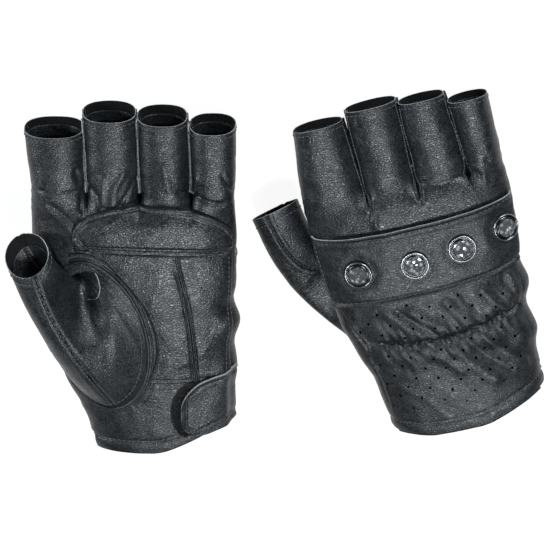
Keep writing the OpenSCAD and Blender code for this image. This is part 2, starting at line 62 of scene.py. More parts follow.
# Thickness of the leather, the slit between touching pieces, and how square the cross sections are
LEATHER = 1.3
GAP = 0.1
ROUND = 2.4
# Half heights of the palm, the wrist and a stall, and how much shorter a stall is on its palm side
PALM_HALF, WRIST_HALF, STALL_HALF, STALL_BASE_HALF = 14.5, 16.0, 10.5, 11.0
RIM_CUT = 3.3
KNUCKLE_Y = -14.0
CUFF_TOP = -104.0
BAND_SEAM = -58.0
HEM_Y = (-141.0, -138.0)
HEM_RISE = (14.0, 9.5)
EDGE_DIR = 20.0
# Outlines of the two gloves as (y, x): the thumb's side, the little finger's side, then how far they sag
RADIAL = (
    [(-145, -22.5), (-136, -24.5), (-126, -27), (-117, -30), (-104, -36.5), (-88, -42), (-70, -47),
     (-50, -50), (-30, -51.5), (0, -52)],
    [(-140, -35), (-123, -38.5), (-104, -40.5), (-90, -44.5), (-75, -48), (-60, -50.5), (-30, -52),
     (0, -51.5)],
)
ULNAR = (
    [(-140, 46.5), (-125, 47), (-110, 47.5), (-94, 48), (-60, 49.5), (-30, 50.2), (0, 49.6)],
    [(-140, 42), (-127, 43), (-104, 44), (-78, 44.5), (-54, 48), (-40, 49.5), (-16, 51), (0, 50.6)],
)
SAG = (
    [(-140, -3.6), (-110, -2.4), (-60, 0), (0, 0), (45, -3)],
    [(-140, 0), (-60, 0.6), (-15, 2.4), (45, 5)],
)
HALF = [(-140, WRIST_HALF), (-110, WRIST_HALF - 0.6), (-80, PALM_HALF + 0.5), (-40, PALM_HALF),
        (-14, PALM_HALF - 1), (0, PALM_HALF - 2.5)]
# Stalls from the index finger on: middle and half width at the crotch, the same at the rim, length
STALLS = (
    [(-37.8, 13.7, -39.7, 14.8, 34.5), (-11.2, 13.1, -12.4, 13.2, 42.5),
     (14.8, 12.7, 13.6, 12.5, 40.5), (38.6, 11, 38.3, 11.6, 36)],
    [(-35.6, 15.8, -34, 12.4, 36), (-6.8, 12.8, -6.4, 13, 40),
     (19.2, 13, 18.4, 11.6, 37.5), (41.5, 9.1, 40.7, 10.2, 32.5)],
)
# Thumb hole: middle x and y, half width, half length, turn in degrees
HOLE = ((-18.5, -76, 22, 38.5, 12), (-33.5, -70, 10.5, 31, 5))
# The rings that the thumb stall runs through: middle, direction, two radii
THUMB_BEND = (
    ((-38, -66, 24), (-0.5, 0.7, 0.5), 10.5, 16.5),
    ((-61.5, -60, 13.5), (-0.6, 0.75, 0.2), 13, 10),
)
THUMB_RIM = (
    ((-53.5, -26, 21), (-0.35, 0.55, 0.75), 11.8, 11.4),
    ((-66.2, -6, 7.5), (-0.2, 0.95, 0.25), 12.6, 8.5),
)
# The hole's upper end is drawn out to a point: how far, in which direction and over how many degrees
HOLE_POINT, HOLE_POINT_DIR, HOLE_POINT_WIDE = (4.0, 0.0), 96, 26
THUMB_SEAT = 0.1
# Middles of the studs on the knuckle band
STUDS = ((-31.7, -42), (-4, -43), (20, -40.5), (42.5, -37))
STUD_D = 14.0
BAND_LIFT = 0.15
STRAP_W, STRAP_REACH, STRAP_ROOT_Y, STRAP_TIP_Y, STRAP_LIFT = 30.0, 20.5, -108.5, -117.0, 2.6
# The line of the elastic across the back of the wrist
GATHER = [(-50, -82), (-36, -81.6), (-20.7, -84.8), (-6.6, -85.8), (5, -86.3), (16, -84.5), (23, -84),
          (31.5, -81.6), (48, -79)]
GATHER_Y = -84.0
HEM_WIDTH = 7.0
# Folds that the leather has taken: height of the ridge (below zero for a crease), half width, points
BACK_FOLDS = (
    (1.2, 2.8, ((-24, -66), (-17, -75), (-9, -82))),
    (1.3, 3.2, ((-12, -68), (-2, -77), (4, -83))),
    (1.1, 3.0, ((6, -67), (11, -76), (15, -82))),
    (1.4, 3.2, ((25, -66), (29, -74), (35, -80))),
    (0.8, 2.6, ((-9.8, -89), (-2, -97), (5, -105))),
    (1.3, 3.4, ((2, -90), (10, -102), (20, -114))),
    (1.3, 3.0, ((19, -88), (27, -100), (37, -111))),
    (-0.8, 1.3, ((-19, -66), (-9, -76), (-2, -83))),
    (-0.8, 1.4, ((15, -67), (20, -76), (25, -83))),
    (-0.7, 1.3, ((11, -89), (19, -101), (29, -112))),
    (1.2, 1.9, ((40, -62), (43, -72), (41, -80))),
    (-0.8, 0.9, ((36, -64), (39, -73), (37, -81))),
    (0.6, 0.6, ((-50.7, -44), (-46.3, -59.4), (-37.6, -83), (-35, -105), (-34.3, -116), (-36, -139))),
    (-1.1, 0.6, ((-52.3, -44), (-47.9, -59.4), (-39.2, -83), (-36.6, -105), (-35.9, -116), (-37.6, -139))),
    (-1.2, 1.3, ((-18.5, -5), (-18.7, -13))),
    (-1.2, 1.3, ((6.6, -5), (6.6, -12))),
    (-1.2, 1.3, ((32, -5), (33, -11))),
    (1.0, 1.6, ((-16.6, -9), (-17.4, -14), (-18.2, -19))),
    (-0.9, 1.0, ((9, -5), (18, -6.5), (27, -5.8), (33, -6))),
    (0.8, 1.4, ((36, -2), (40, -5), (39.7, -11))),
    (-0.9, 1.1, ((43, 0.5), (47, -5), (50, -9))),
)
PALM_FOLDS = (
    (-1.2, 1.2, ((0.5, 9), (-3, 3), (-7, -3.5))),
    (-1.4, 1.2, ((22, 3), (30, 0), (38, -3), (50, -4))),
    (-0.9, 1.2, ((-24, 6), (-19, 1), (-17, -5))),
    (1.0, 1.5, ((-15.5, 10.5), (-17, -3))),
    (0.9, 1.5, ((31, 9), (29, 3))),
    (-0.9, 1.1, ((43, 12), (47, 5), (50, 0))),
    (-0.6, 0.5, ((-52, 3.5), (-24.5, 3.5))),
    (0.8, 1.6, ((-48, -3), (-36, -12), (-26, -24))),
    (-0.8, 1.2, ((-42, -4), (-31, -13), (-22, -27))),
    (0.9, 1.5, ((-5, 14), (-10, 4), (-11, -3))),
    (-0.9, 1.0, ((-29, 14), (-26, 2), (-27, -8))),
    (0.7, 1.3, ((14, 16), (17, 4))),
)


# ---------------------------------------------------------------- curves and noise

def curve(t, table):
    """A smooth curve through the table's points (Hermite, with slopes from its neighbours)."""
    knots = np.array(table, float)
    xs, vs = knots[:, 0], knots[:, 1]
    slopes = np.gradient(vs, xs)
    t = np.clip(t, xs[0], xs[-1])
    i = np.clip(np.searchsorted(xs, t, side="right") - 1, 0, len(xs) - 2)
    step = xs[i + 1] - xs[i]
    s = (t - xs[i]) / step
    return (
        vs[i] * (1 + 2 * s) * (1 - s) ** 2 + slopes[i] * step * s * (1 - s) ** 2
        + vs[i + 1] * s * s * (3 - 2 * s) + slopes[i + 1] * step * s * s * (s - 1)
    )


def smooth(t):
    """From 0 to 1 without a corner at either end."""
    c = np.clip(t, 0, 1)
    return c * c * (3 - 2 * c)


def lerp(a, b, t):
    return a + (b - a) * t


def turned(direction):
    """The same direction, in degrees, between -180 and 180."""
    return (direction + 180) % 360 - 180


def paired(a, b):
    """Two numbers or arrays as arrays of one shape."""
    return np.broadcast_arrays(np.asarray(a, float), np.asarray(b, float))


def grid(rows, columns):
    """Row and column values at every corner of a grid."""
    return np.meshgrid(rows, columns, indexing="ij")


def shares_grid(rows, columns):
    """Shares from 0 to 1 up and across at every corner of a grid."""
    return grid(np.linspace(0, 1, rows), np.linspace(0, 1, columns))


def bow(v):
    """Turns a cosine or sine into a place on a squared circle."""
    return np.sign(v) * np.abs(v) ** (2 / ROUND)


def dome(t):
    """Height of a squared circle over the place t across it, from -1 to 1."""
    return np.maximum(0, 1 - np.abs(t) ** ROUND) ** (1 / ROUND)


def bell(t):
    return np.exp(-t * t)


def unit(v):
    v = np.asarray(v, float)
    return v / np.maximum(np.linalg.norm(v, axis=-1, keepdims=True), 1e-9)


def noise(x, y, size, seed):
    """Smooth value noise from -1 to 1 with features of the given size."""
    table = np.random.default_rng(seed).random((97, 97)) * 2 - 1
    u, v = x / size + 40.3, y / size + 40.7
    iu, iv = np.floor(u).astype(int), np.floor(v).astype(int)
    fu, fv = smooth(u - iu), smooth(v - iv)
    a, b = table[iu % 97, iv % 97], table[(iu + 1) % 97, iv % 97]
    c, d = table[iu % 97, (iv + 1) % 97], table[(iu + 1) % 97, (iv + 1) % 97]
    return lerp(lerp(a, b, fu), lerp(c, d, fu), fv)


def near_line(x, y, line):
    """Distance from points to a line of (x, y) points."""
    best = np.full(np.broadcast(x, y).shape, 1e9)
    for (ax, ay), (bx, by) in zip(line[:-1], line[1:]):
        dx, dy = bx - ax, by - ay
        t = np.clip(((x - ax) * dx + (y - ay) * dy) / (dx * dx + dy * dy), 0, 1)
        best = np.minimum(best, np.hypot(x - ax - t * dx, y - ay - t * dy))
    return best


def folds(x, y, direction, spacing, length, seed, sharp=2.0):
    """Rounded ridges between narrow creases that run along a direction given in degrees. From 0 to 1."""
    c, s = math.cos(math.radians(direction)), math.sin(math.radians(direction))
    along, across = x * c + y * s, y * c - x * s
    across = across + 0.9 * spacing * noise(along, across, length * 0.6, seed + 7)
    n = noise(across, along * spacing / length, spacing, seed)
    return 1 - np.abs(n) ** (1 / sharp)


# ---------------------------------------------------------------- the glove's surface

def mid_x(g, y):
    return (curve(y, RADIAL[g]) + curve(y, ULNAR[g])) / 2


def half_w(g, y):
    return (curve(y, ULNAR[g]) - curve(y, RADIAL[g])) / 2


def sag(g, y):
    return curve(y, SAG[g])


def hem_line(g, x):
    """The edge of the wrist's opening."""
    return HEM_Y[g] + HEM_RISE[g] * smooth((x - 6) / 42) + 3 * g * smooth((-15 - x) / 20)


def stall_shape(g, k, y):
    """Middle, half width and half height of a stall."""
    a, b, c, d, length = STALLS[g][k]
    t = np.clip(y / length, 0, 1)
    return lerp(a, c, t), lerp(b, d, t), lerp(STALL_BASE_HALF, STALL_HALF, t)


def stall_point(g, k, direction, row, d):
    """A point of stall k: direction round it in degrees, row 0 at the crotch and 1 at the rim."""
    rad = np.radians(direction)
    y = row * (STALLS[g][k][4] - RIM_CUT * (1 + bow(np.sin(rad))) / 2)
    m, w, h = stall_shape(g, k, y)
    x = m + (w + d) * bow(np.cos(rad))
    return np.stack(np.broadcast_arrays(x, y, (h + d) * bow(np.sin(rad)) + sag(g, y)), -1)


def skin_z(g, x, y, d):
    """Half the glove's height: the hand's cross section, parted into stalls above the knuckles."""
    hand = (curve(y, HALF) + d) * dome((x - mid_x(g, y)) / (half_w(g, y) + d))
    lobes = 0
    for k in range(4):
        m, w, h = stall_shape(g, k, y)
        lobes = np.maximum(lobes, (h + d) * dome((x - m) / (w + d)))
    part = smooth((y - KNUCKLE_Y) / -KNUCKLE_Y)
    return np.maximum(lerp(hand, lobes, part), LEATHER + GAP + d)


def skin(g, side, x, y, d):
    """The glove's smooth surface, d outside the leather's outer face."""
    m, w = mid_x(g, y), half_w(g, y)
    x = m + (x - m) * (w + d) / w
    return np.stack(np.broadcast_arrays(x, y, side * skin_z(g, x, y, d) + sag(g, y)), -1)


def add_gathers(x, y, r, seed):
    """The relief of the lower back: slanting folds, the elastic's puckers and a dent round each stud."""
    low = smooth((-56 - y) / 8)
    r = r + low * (0.6 * folds(x, y, -54, 9, 40, seed + 3) - 0.3)
    reach = smooth((x + 38) / 8) * smooth((43 - x) / 6)
    away = y - curve(x, GATHER) - 0.7 * np.sin(x / 2.1) * reach
    puckers = np.cos(2 * np.pi * (x + 0.35 * away + 1.4 * noise(x, y, 9, seed + 4)) / 4.6)
    r = r - reach * 1.9 * bell(away / 1.3) + reach * 0.42 * puckers * np.exp(-np.abs(away) / 6)
    r = r + reach * (1.2 * bell((away + 7) / 5) + 1.0 * bell((away - 7) / 5))
    for sx, sy in STUDS:
        r = r - 0.55 * bell((np.hypot(x - sx, y - sy) - STUD_D / 2 - 0.5) / 2.2)
    return r


def relief(g, side, x, y):
    """How far wrinkles, creases and puckers move the leather outwards."""
    seed = 11 + 3 * g + side
    r = 0.35 * noise(x, y, 11, seed) + 0.16 * noise(x, y, 5, seed + 1) + 0.05 * noise(x, y, 2.4, seed + 8)
    r = r - 0.5 * bell((y + 6) / 13) * (1 - folds(x, y, 8 + 10 * g, 7, 30, seed + 2))
    wander = 0.35 * noise(x, y, 9, seed + 9)
    inside = smooth((half_w(g, y) * EDGE - np.abs(x - mid_x(g, y))) / 5)
    inside = lerp(inside, 1, smooth(y / 4))
    for height, width, line in BACK_FOLDS if side == BACK else PALM_FOLDS:
        r = r + inside * height * bell((near_line(x, y, line) + wander) / width)
    over_hem = y - hem_line(g, x) - HEM_WIDTH
    r = r - 0.6 * bell(over_hem / 0.6) + 0.4 * bell((over_hem + 3.5) / 2.6)
    by_little = smooth((x - mid_x(g, y) - 0.7 * half_w(g, y)) / (0.22 * half_w(g, y)))
    r = r + by_little * (1.9 * bell((y + 71) / 7) + 1.5 * bell((y + 96) / 8) - 0.8 * bell((y + 58) / 5))
    return add_gathers(x, y, r, seed) if side == BACK else r


def both_reliefs(g, x, y, rise):
    """The relief where the back turns into the palm: rise runs from -1 on the back to 1 on the palm."""
    return lerp(relief(g, BACK, x, y), relief(g, PALM, x, y), smooth((rise + 1) / 2 * 3 - 1))


def surface(g, side, x, y, d):
    """Place and outward direction on the wrinkled leather."""
    e = 0.5
    x, y = np.asarray(x, float), np.asarray(y, float)
    across = skin(g, side, x + e, y, d) - skin(g, side, x - e, y, d)
    along = skin(g, side, x, y + e, d) - skin(g, side, x, y - e, d)
    normal = unit(np.cross(across, along)) * side
    return skin(g, side, x, y, d) + normal * relief(g, side, x, y)[..., None], normal


def hole_point(g, direction, grow):
    """A point beside the edge of the thumb hole."""
    hx, hy, a, b, turn = HOLE[g]
    t, f = np.radians(direction), math.radians(turn)
    point = HOLE_POINT[g] * bell(turned(np.asarray(direction) - HOLE_POINT_DIR) / HOLE_POINT_WIDE)
    p, q = (a + grow + point) * np.cos(t), (b + grow + point) * np.sin(t)
    return hx + p * math.cos(f) - q * math.sin(f), hy + p * math.sin(f) + q * math.cos(f)


def hole_share(g, x, y):
    """Distance from the thumb hole's middle, with 1 at its edge."""
    hx, hy, a, b, turn = HOLE[g]
    f = math.radians(turn)
    dx, dy = x - hx, y - hy
    return np.hypot((dx * math.cos(f) + dy * math.sin(f)) / a, (dy * math.cos(f) - dx * math.sin(f)) / b)


def ring_point(ring, direction, d):
    """A point on one of the rings that the thumb stall runs through."""
    centre, axis, r1, r2 = ring
    n = unit(axis)
    across = unit(np.array([1.0, 0, 0]) - n * n[0])
    other = np.cross(n, across)
    t = np.radians(direction)[..., None]
    return np.array(centre) + (r1 + d) * np.cos(t) * across + (r2 + d) * np.sin(t) * other


def thumb_point(g, v, direction, d):
    """A point of the thumb stall: v is 0 at the palm and 1 at the rim."""
    v, direction = paired(v, direction)
    x, y = hole_point(g, direction, LEATHER + 0.4 + d)
    base = skin(g, PALM, x, y, 0) + np.array([0, 0, THUMB_SEAT])
    v = v[..., None]
    p = (
        (1 - v) ** 2 * base + 2 * v * (1 - v) * ring_point(THUMB_BEND[g], direction, d)
        + v * v * ring_point(THUMB_RIM[g], direction, d)
    )
    if g == LEFT:
        p[..., 2] -= hollow(p, v[..., 0])
    return p


# The hollow where the left thumb stall folds down against the palm
HOLLOW_AT, HOLLOW_ALONG = (-28.5, -54), (0.42, -0.91)
HOLLOW_HALF_LONG, HOLLOW_HALF_WIDE, HOLLOW_DEPTH = 17, 8.5, 16.0


def hollow(p, v):
    """How deep the left thumb stall sinks at a point."""
    dx, dy = p[..., 0] - HOLLOW_AT[0], p[..., 1] - HOLLOW_AT[1]
    along = dx * HOLLOW_ALONG[0] + dy * HOLLOW_ALONG[1]
    across = dx * HOLLOW_ALONG[1] - dy * HOLLOW_ALONG[0]
    shape = bell(along / HOLLOW_HALF_LONG) * bell(across / HOLLOW_HALF_WIDE)
    return HOLLOW_DEPTH * shape * smooth(v / 0.12) * smooth((p[..., 2] - 5) / 9)


# Where the panels of the thumb meet, and where the seam shows: its direction at the palm and at the rim
THUMB_SEAM = -85
THUMB_SEAM_AT = (-90, -69)


def thumb_relief(g, v, direction):
    """Wrinkles of the thumb stall and the dips along its two seams."""
    direction = turned(direction - THUMB_SEAM) + THUMB_SEAM
    x, y = direction / 360 * 90, v * 70
    r = 0.3 * noise(x, y, 9, 61 + g) + 0.4 * (folds(x, y, 20, 8, 34, 63 + g) - 0.65) * (1 - 0.6 * v)
    seam = lerp(THUMB_SEAM_AT[0], THUMB_SEAM_AT[1], v)
    for turn in (0, 180):
        off = turned(direction - seam - turn)
        r = r - 0.7 * bell(off / 2.6) + 0.3 * bell((np.abs(off) - 9) / 6)
    return r * smooth(v / 0.12)


def thumb_surface(g, v, direction, d):
    """Place and outward direction on the thumb stall, wrinkles included."""
    def at(share, turn):
        return thumb_point(g, share, turn, d)
    v, direction = paired(v, direction)
    along = at(np.minimum(v + 0.02, 1), direction) - at(np.maximum(v - 0.02, 0), direction)
    across = at(v, direction + 2) - at(v, direction - 2)
    normal = unit(np.cross(across, along))
    return at(v, direction) + normal * thumb_relief(g, v, direction)[..., None], normal


def to_world(g, points):
    """From a glove's own millimetres to the world's metres; the right glove lies palm down."""
    p = np.array(points, float)
    if g == RIGHT:
        c, s = math.cos(TURN), math.sin(TURN)
        p = np.stack([p[..., 0] * c - p[..., 1] * s, p[..., 0] * s + p[..., 1] * c, -p[..., 2]], -1)
    return (p + PLACE[g]) * MM


# ---------------------------------------------------------------- materials

def new_material(name, color=(0.5, 0.5, 0.5), roughness=0.5, metallic=0.0, specular=0.5):
    m = bpy.data.materials.new(name)
    m.use_nodes = True
    shader = m.node_tree.nodes["Principled BSDF"]
    shader.inputs["Base Color"].default_value = (*color, 1)
    shader.inputs["Roughness"].default_value = roughness
    shader.inputs["Metallic"].default_value = metallic
    shader.inputs["Specular IOR Level"].default_value = specular
    return m, m.node_tree, shader


def add_node(tree, kind, **settings):
    """A shader node; each setting is one of its sockets or properties."""
    n = tree.nodes.new(kind)
    for key, value in settings.items():
        if key in n.inputs:
            n.inputs[key].default_value = value
        else:
            setattr(n, key, value)
    return n


def ramp(tree, source, stops):
    n = tree.nodes.new("ShaderNodeValToRGB")
    n.color_ramp.elements[0].position, n.color_ramp.elements[0].color = stops[0][0], (*stops[0][1], 1)
    n.color_ramp.elements[1].position, n.color_ramp.elements[1].color = stops[-1][0], (*stops[-1][1], 1)
    for place, color in stops[1:-1]:
        e = n.color_ramp.elements.new(place)
        e.color = (*color, 1)
    tree.links.new(source, n.inputs["Fac"])
    return n.outputs["Color"]


def gray(v):
    """A grey as a color, for ramps that carry a number."""
    return (v, v, v)


def object_place(tree):
    """Places on the object itself, in metres."""
    return add_node(tree, "ShaderNodeTexCoord").outputs["Object"]


def texture(tree, kind, place, **settings):
    """A node that reads the given place."""
    n = add_node(tree, kind, **settings)
    tree.links.new(place, n.inputs["Vector"])
    return n


def math_node(tree, operation, *values):
    """A Math node: each value is a number or the socket that feeds it."""
    n = add_node(tree, "ShaderNodeMath", operation=operation)
    for value, socket in zip(values, n.inputs):
        if isinstance(value, bpy.types.NodeSocket):
            tree.links.new(value, socket)
        else:
            socket.default_value = value
    return n.outputs[0]


def bump(tree, height, strength, distance, below=None):
    """A relief from a height, on top of the one below it."""
    n = add_node(tree, "ShaderNodeBump", Strength=strength, Distance=distance)
    tree.links.new(height, n.inputs["Height"])
    if below:
        tree.links.new(below, n.inputs["Normal"])
    return n.outputs["Normal"]


# Depths of the leather's creases, pebbles and pores, in metres, and its cells for each metre
CREASE, PEBBLE, PORE = 0.00016, 0.00011, 0.00004
PEBBLES = 820


def leather(name, dark, light, rough=0.4, grain=1.0):
    """Pebbled leather: fine cells, longer creases and lighter patches at random, its colour painted darker in
    the crease valleys and between the pebbles as shade.
    """
    m, tree, shader = new_material(name, dark, rough, specular=0.4)
    link = tree.links.new
    stretch = texture(tree, "ShaderNodeMapping", object_place(tree))
    stretch.inputs["Scale"].default_value = (0.7, 1.2, 1.0)
    place = stretch.outputs["Vector"]
    patches = texture(tree, "ShaderNodeTexNoise", place, Scale=55, Detail=4, Roughness=0.6)
    cells = texture(tree, "ShaderNodeTexVoronoi", place, Scale=PEBBLES, feature="DISTANCE_TO_EDGE")
    fine = texture(tree, "ShaderNodeTexNoise", place, Scale=620, Detail=3, Roughness=0.6)
    wrinkle = texture(tree, "ShaderNodeTexNoise", place, Scale=210, Detail=5, Roughness=0.62, Distortion=0.6)
    # Colour: random lighter patches plus the crease bump's own height, so the crease valleys get painted
    # shade
    half = math_node(tree, "MULTIPLY", patches.outputs["Fac"], 0.5)
    tone_and_crease_shade = math_node(tree, "MULTIPLY_ADD", wrinkle.outputs["Fac"], 0.5, half)
    tone_and_painted_shade = add_node(tree, "ShaderNodeVectorMath", operation="MULTIPLY")
    link(ramp(tree, tone_and_crease_shade, [(0.4, dark), (0.62, light)]), tone_and_painted_shade.inputs[0])
    # Near black at the pebbles' edges, in the valleys of their bump: painted shade
    link(ramp(tree, cells.outputs["Distance"], [(0.0, gray(0.05)), (0.2, gray(1.08))]), tone_and_painted_shade.inputs[1])
    link(tone_and_painted_shade.outputs[0], shader.inputs["Base Color"])
    link(ramp(tree, fine.outputs["Fac"], [(0.3, gray(rough - 0.12)), (0.7, gray(rough + 0.1))]),
         shader.inputs["Roughness"])
    pebble = ramp(tree, cells.outputs["Distance"], [(0.0, gray(0)), (0.22, gray(1))])
    normal = None
    for height, distance in ((wrinkle.outputs["Fac"], CREASE), (pebble, PEBBLE), (fine.outputs["Fac"], PORE)):
        normal = bump(tree, height, 0.6 * grain, distance, normal)
    link(normal, shader.inputs["Normal"])
    return m


def fibre(name, dark, light, scale, rough=0.95, sheen=0.3):
    """A dull woven, napped or cut surface."""
    m, tree, shader = new_material(name, dark, rough, specular=0.2)
    shader.inputs["Sheen Weight"].default_value = sheen
    n = texture(tree, "ShaderNodeTexNoise", object_place(tree), Scale=scale, Detail=6, Roughness=0.7)
    tree.links.new(ramp(tree, n.outputs["Fac"], [(0.35, dark), (0.7, light)]), shader.inputs["Base Color"])
    tree.links.new(bump(tree, n.outputs["Fac"], 0.8, 0.0005), shader.inputs["Normal"])
    return m


def metal(name, color, rough):
    """Lightly scuffed metal."""
    m, tree, shader = new_material(name, color, rough, metallic=1.0)
    n = texture(tree, "ShaderNodeTexNoise", object_place(tree), Scale=700, Detail=4, Roughness=0.6)
    tree.links.new(ramp(tree, n.outputs["Fac"], [(0.3, gray(rough * 0.7)), (0.75, gray(rough * 1.6))]),
                   shader.inputs["Roughness"])
    tree.links.new(bump(tree, n.outputs["Fac"], 0.12, 0.0001), shader.inputs["Normal"])
    return m


def crystal_glass():
    """Smoky glass with a mirror backing, with near-white spots in its colour as painted glints."""
    m, tree, shader = new_material("smoke_crystal_painted_glints", (0.2, 0.2, 0.21), 0.12, metallic=0.6, specular=0.9)
    n = texture(tree, "ShaderNodeTexVoronoi", object_place(tree), Scale=420)
    # Near-white spots at the cells' middles: painted glints
    tree.links.new(ramp(tree, n.outputs["Distance"], [(0.0, (0.8, 0.82, 0.84)), (0.5, (0.12, 0.12, 0.125))]),
                   shader.inputs["Base Color"])
    return m


BLACK = leather("black_leather", (0.0055, 0.0068, 0.0084), (0.018, 0.0215, 0.0255), 0.41)
PATCH = leather("patch_leather", (0.006, 0.0073, 0.009), (0.02, 0.0237, 0.028), 0.38)
SOFT = leather("soft_leather", (0.011, 0.0128, 0.015), (0.034, 0.039, 0.0445), 0.41, 1.1)
CUFF = leather("cuff_leather", (0.0045, 0.0056, 0.007), (0.0145, 0.0175, 0.021), 0.44)
# Cut edges in light grey: partly the leather's own cut core, partly a painted highlight along the rims, the
# seam lips and the band's edge
LIT_CUT_EDGE = fibre("cut_leather_edge_painted_highlight", (0.12, 0.125, 0.13), (0.42, 0.43, 0.44), 900, 0.8, 0.05)
# The flesh side, near black and darker than the grain side: partly its own colour, partly painted shade
# inside the glove and on the punched holes' walls
FLESH_AND_HOLE_SHADE = fibre("leather_flesh_side_painted_shade", (0.0015, 0.0015, 0.0018), (0.006, 0.006, 0.0065), 700, sheen=0.0)
THREAD = fibre("black_thread", (0.03, 0.032, 0.035), (0.1, 0.105, 0.112), 1800, 0.6, 0.15)
PILE = fibre("loop_pile", (0.003, 0.003, 0.0035), (0.012, 0.012, 0.013), 1400, 1.0, 0.15)
ELASTIC = fibre("ribbed_elastic", (0.02, 0.02, 0.022), (0.05, 0.05, 0.053), 1200)
FOAM = fibre("open_foam", (0.2, 0.2, 0.185), (0.36, 0.36, 0.34), 1500, 1.0, 0.0)
# Dark nickel for the setting's body and the washers; on the setting it also stands as painted shade in the
# channel, with a lighter copy as the rim's painted highlight
NICKEL_AND_SHADE = metal("dark_nickel_and_shade", (0.06, 0.062, 0.068), 0.22)
RIM_HIGHLIGHT_METAL = metal("rim_metal_painted_highlight", (0.24, 0.247, 0.255), 0.28)
CRYSTAL = crystal_glass()


# ---------------------------------------------------------------- mesh building

def signed_volume(places, faces):
    total = 0.0
    for size in {len(f) for f in faces}:
        corners = places[np.array([f for f in faces if len(f) == size])]
        for k in range(1, size - 1):
            total += np.sum(corners[:, 0] * np.cross(corners[:, k], corners[:, k + 1]))
    return total


def add_object(name, data):
    """Data as an object of the scene."""
    thing = bpy.data.objects.new(name, data)
    bpy.context.scene.collection.objects.link(thing)
    return thing


def mesh_object(name, points, faces, materials, face_slots, smooth_faces):
    mesh = bpy.data.meshes.new(name)
    mesh.from_pydata(points, [], faces)
    for m in materials:
        mesh.materials.append(m)
    mesh.polygons.foreach_set("material_index", face_slots)
    mesh.polygons.foreach_set("use_smooth", smooth_faces)
    mesh.update()
    return add_object(name, mesh)


def make_mesh(name, g, points, faces, materials, face_slots=None, smooth_shade=True):
    """A closed mesh in the glove's own millimetres, named after the glove, with its faces turned outwards."""
    places = to_world(g, points)
    if signed_volume(places, faces) < 0:
        faces = [tuple(reversed(f)) for f in faces]
    slots = face_slots or [0] * len(faces)
    smooth_faces = [smooth_shade] * len(faces)
    return mesh_object(f"{SIDES[g]}_{name}", places.tolist(), faces, materials, slots, smooth_faces)


def apply_modifiers(piece):
    """Turns a piece's modifiers into mesh."""
    graph = bpy.context.evaluated_depsgraph_get()
    done = bpy.data.meshes.new_from_object(piece.evaluated_get(graph))
    piece.modifiers.clear()
    piece.data = done


def round_edges(piece, width):
    """Bevels the sharp edges of a piece, width in millimetres."""
    b = piece.modifiers.new("edge", "BEVEL")
    b.width = width * MM
    b.segments = 2
    b.limit_method = "ANGLE"
    b.angle_limit = math.radians(55)
    apply_modifiers(piece)


def drop_unused(points, faces):
    """Leaves out the points that no face uses."""
    used = np.unique(np.array([v for f in faces for v in f]))
    renumber = np.full(len(points), -1)
    renumber[used] = np.arange(len(used))
    return points[used], [tuple(int(renumber[v]) for v in f) for f in faces]


# Neighbours of a grid corner, one after another round it, and the radius of a punched hole
PUNCH_RING = ((-1, -1), (-1, 0), (-1, 1), (0, 1), (1, 1), (1, 0), (1, -1), (0, -1))
PUNCH_RADIUS = 0.78


def punch_edge(corners, punched):
    """Points round each punched hole, towards the corners about it."""
    points = []
    for i, j in punched:
        for di, dj in PUNCH_RING:
            arm = corners[i + di, j + dj] - corners[i, j]
            points.append(corners[i, j] + arm * PUNCH_RADIUS / np.linalg.norm(arm))
    return np.array(points).reshape(-1, 3)


def shell(name, g, outer, inner, materials, keep=None, ring=False, bevel=0.25, punched=()):
    """A closed sheet between two grids: slot 0 outside, 1 on the cut edges, 2 inside.

    punched lists the grid corners that get a round hole."""
    rows, cols = outer.shape[:2]
    wide = cols if ring else cols - 1
    drawn = np.ones((rows - 1, wide), bool) if keep is None else keep.copy()
    joined = drawn.copy()
    for i, j in punched:
        drawn[i - 1:i + 1, j - 1:j + 1] = False
    count = len(PUNCH_RING)
    total = rows * cols + count * len(punched)
    points = np.concatenate([
        part for corners in (outer, inner) for part in (corners.reshape(-1, 3), punch_edge(corners, punched))
    ])

    def vid(i, j):
        return i * cols + j % cols

    def on(i, j):
        if ring:
            j %= wide
        return 0 <= i < rows - 1 and 0 <= j < wide and joined[i, j]

    faces, slots = [], []

    def put(face, slot):
        faces.append(face)
        slots.append(slot)

    def put_both(a, b, c, d):
        put((a, b, c, d), 0)
        put((total + a, total + d, total + c, total + b), 2)

    for i in range(rows - 1):
        for j in range(wide):
            if not drawn[i, j]:
                continue
            a, b, c, d = vid(i, j), vid(i, j + 1), vid(i + 1, j + 1), vid(i + 1, j)
            put_both(a, b, c, d)
            for ni, nj, p, q in ((i - 1, j, a, b), (i + 1, j, c, d), (i, j - 1, d, a), (i, j + 1, b, c)):
                if not on(ni, nj):
                    put((q, p, total + p, total + q), 1)
    for h, (i, j) in enumerate(punched):
        first = rows * cols + h * count
        for k in range(count):
            (di, dj), (ei, ej) = PUNCH_RING[k], PUNCH_RING[(k + 1) % count]
            p, q = vid(i + di, j + dj), vid(i + ei, j + ej)
            u, v = first + k, first + (k + 1) % count
            put_both(p, q, v, u)
            # The walls of a punched hole take the inside's near-black slot: painted shade in the hole
            put((u, v, total + v, total + u), 2)
    points, faces = drop_unused(points, faces)
    piece = make_mesh(name, g, points, faces, materials, slots)
    if bevel:
        round_edges(piece, bevel)
    return piece


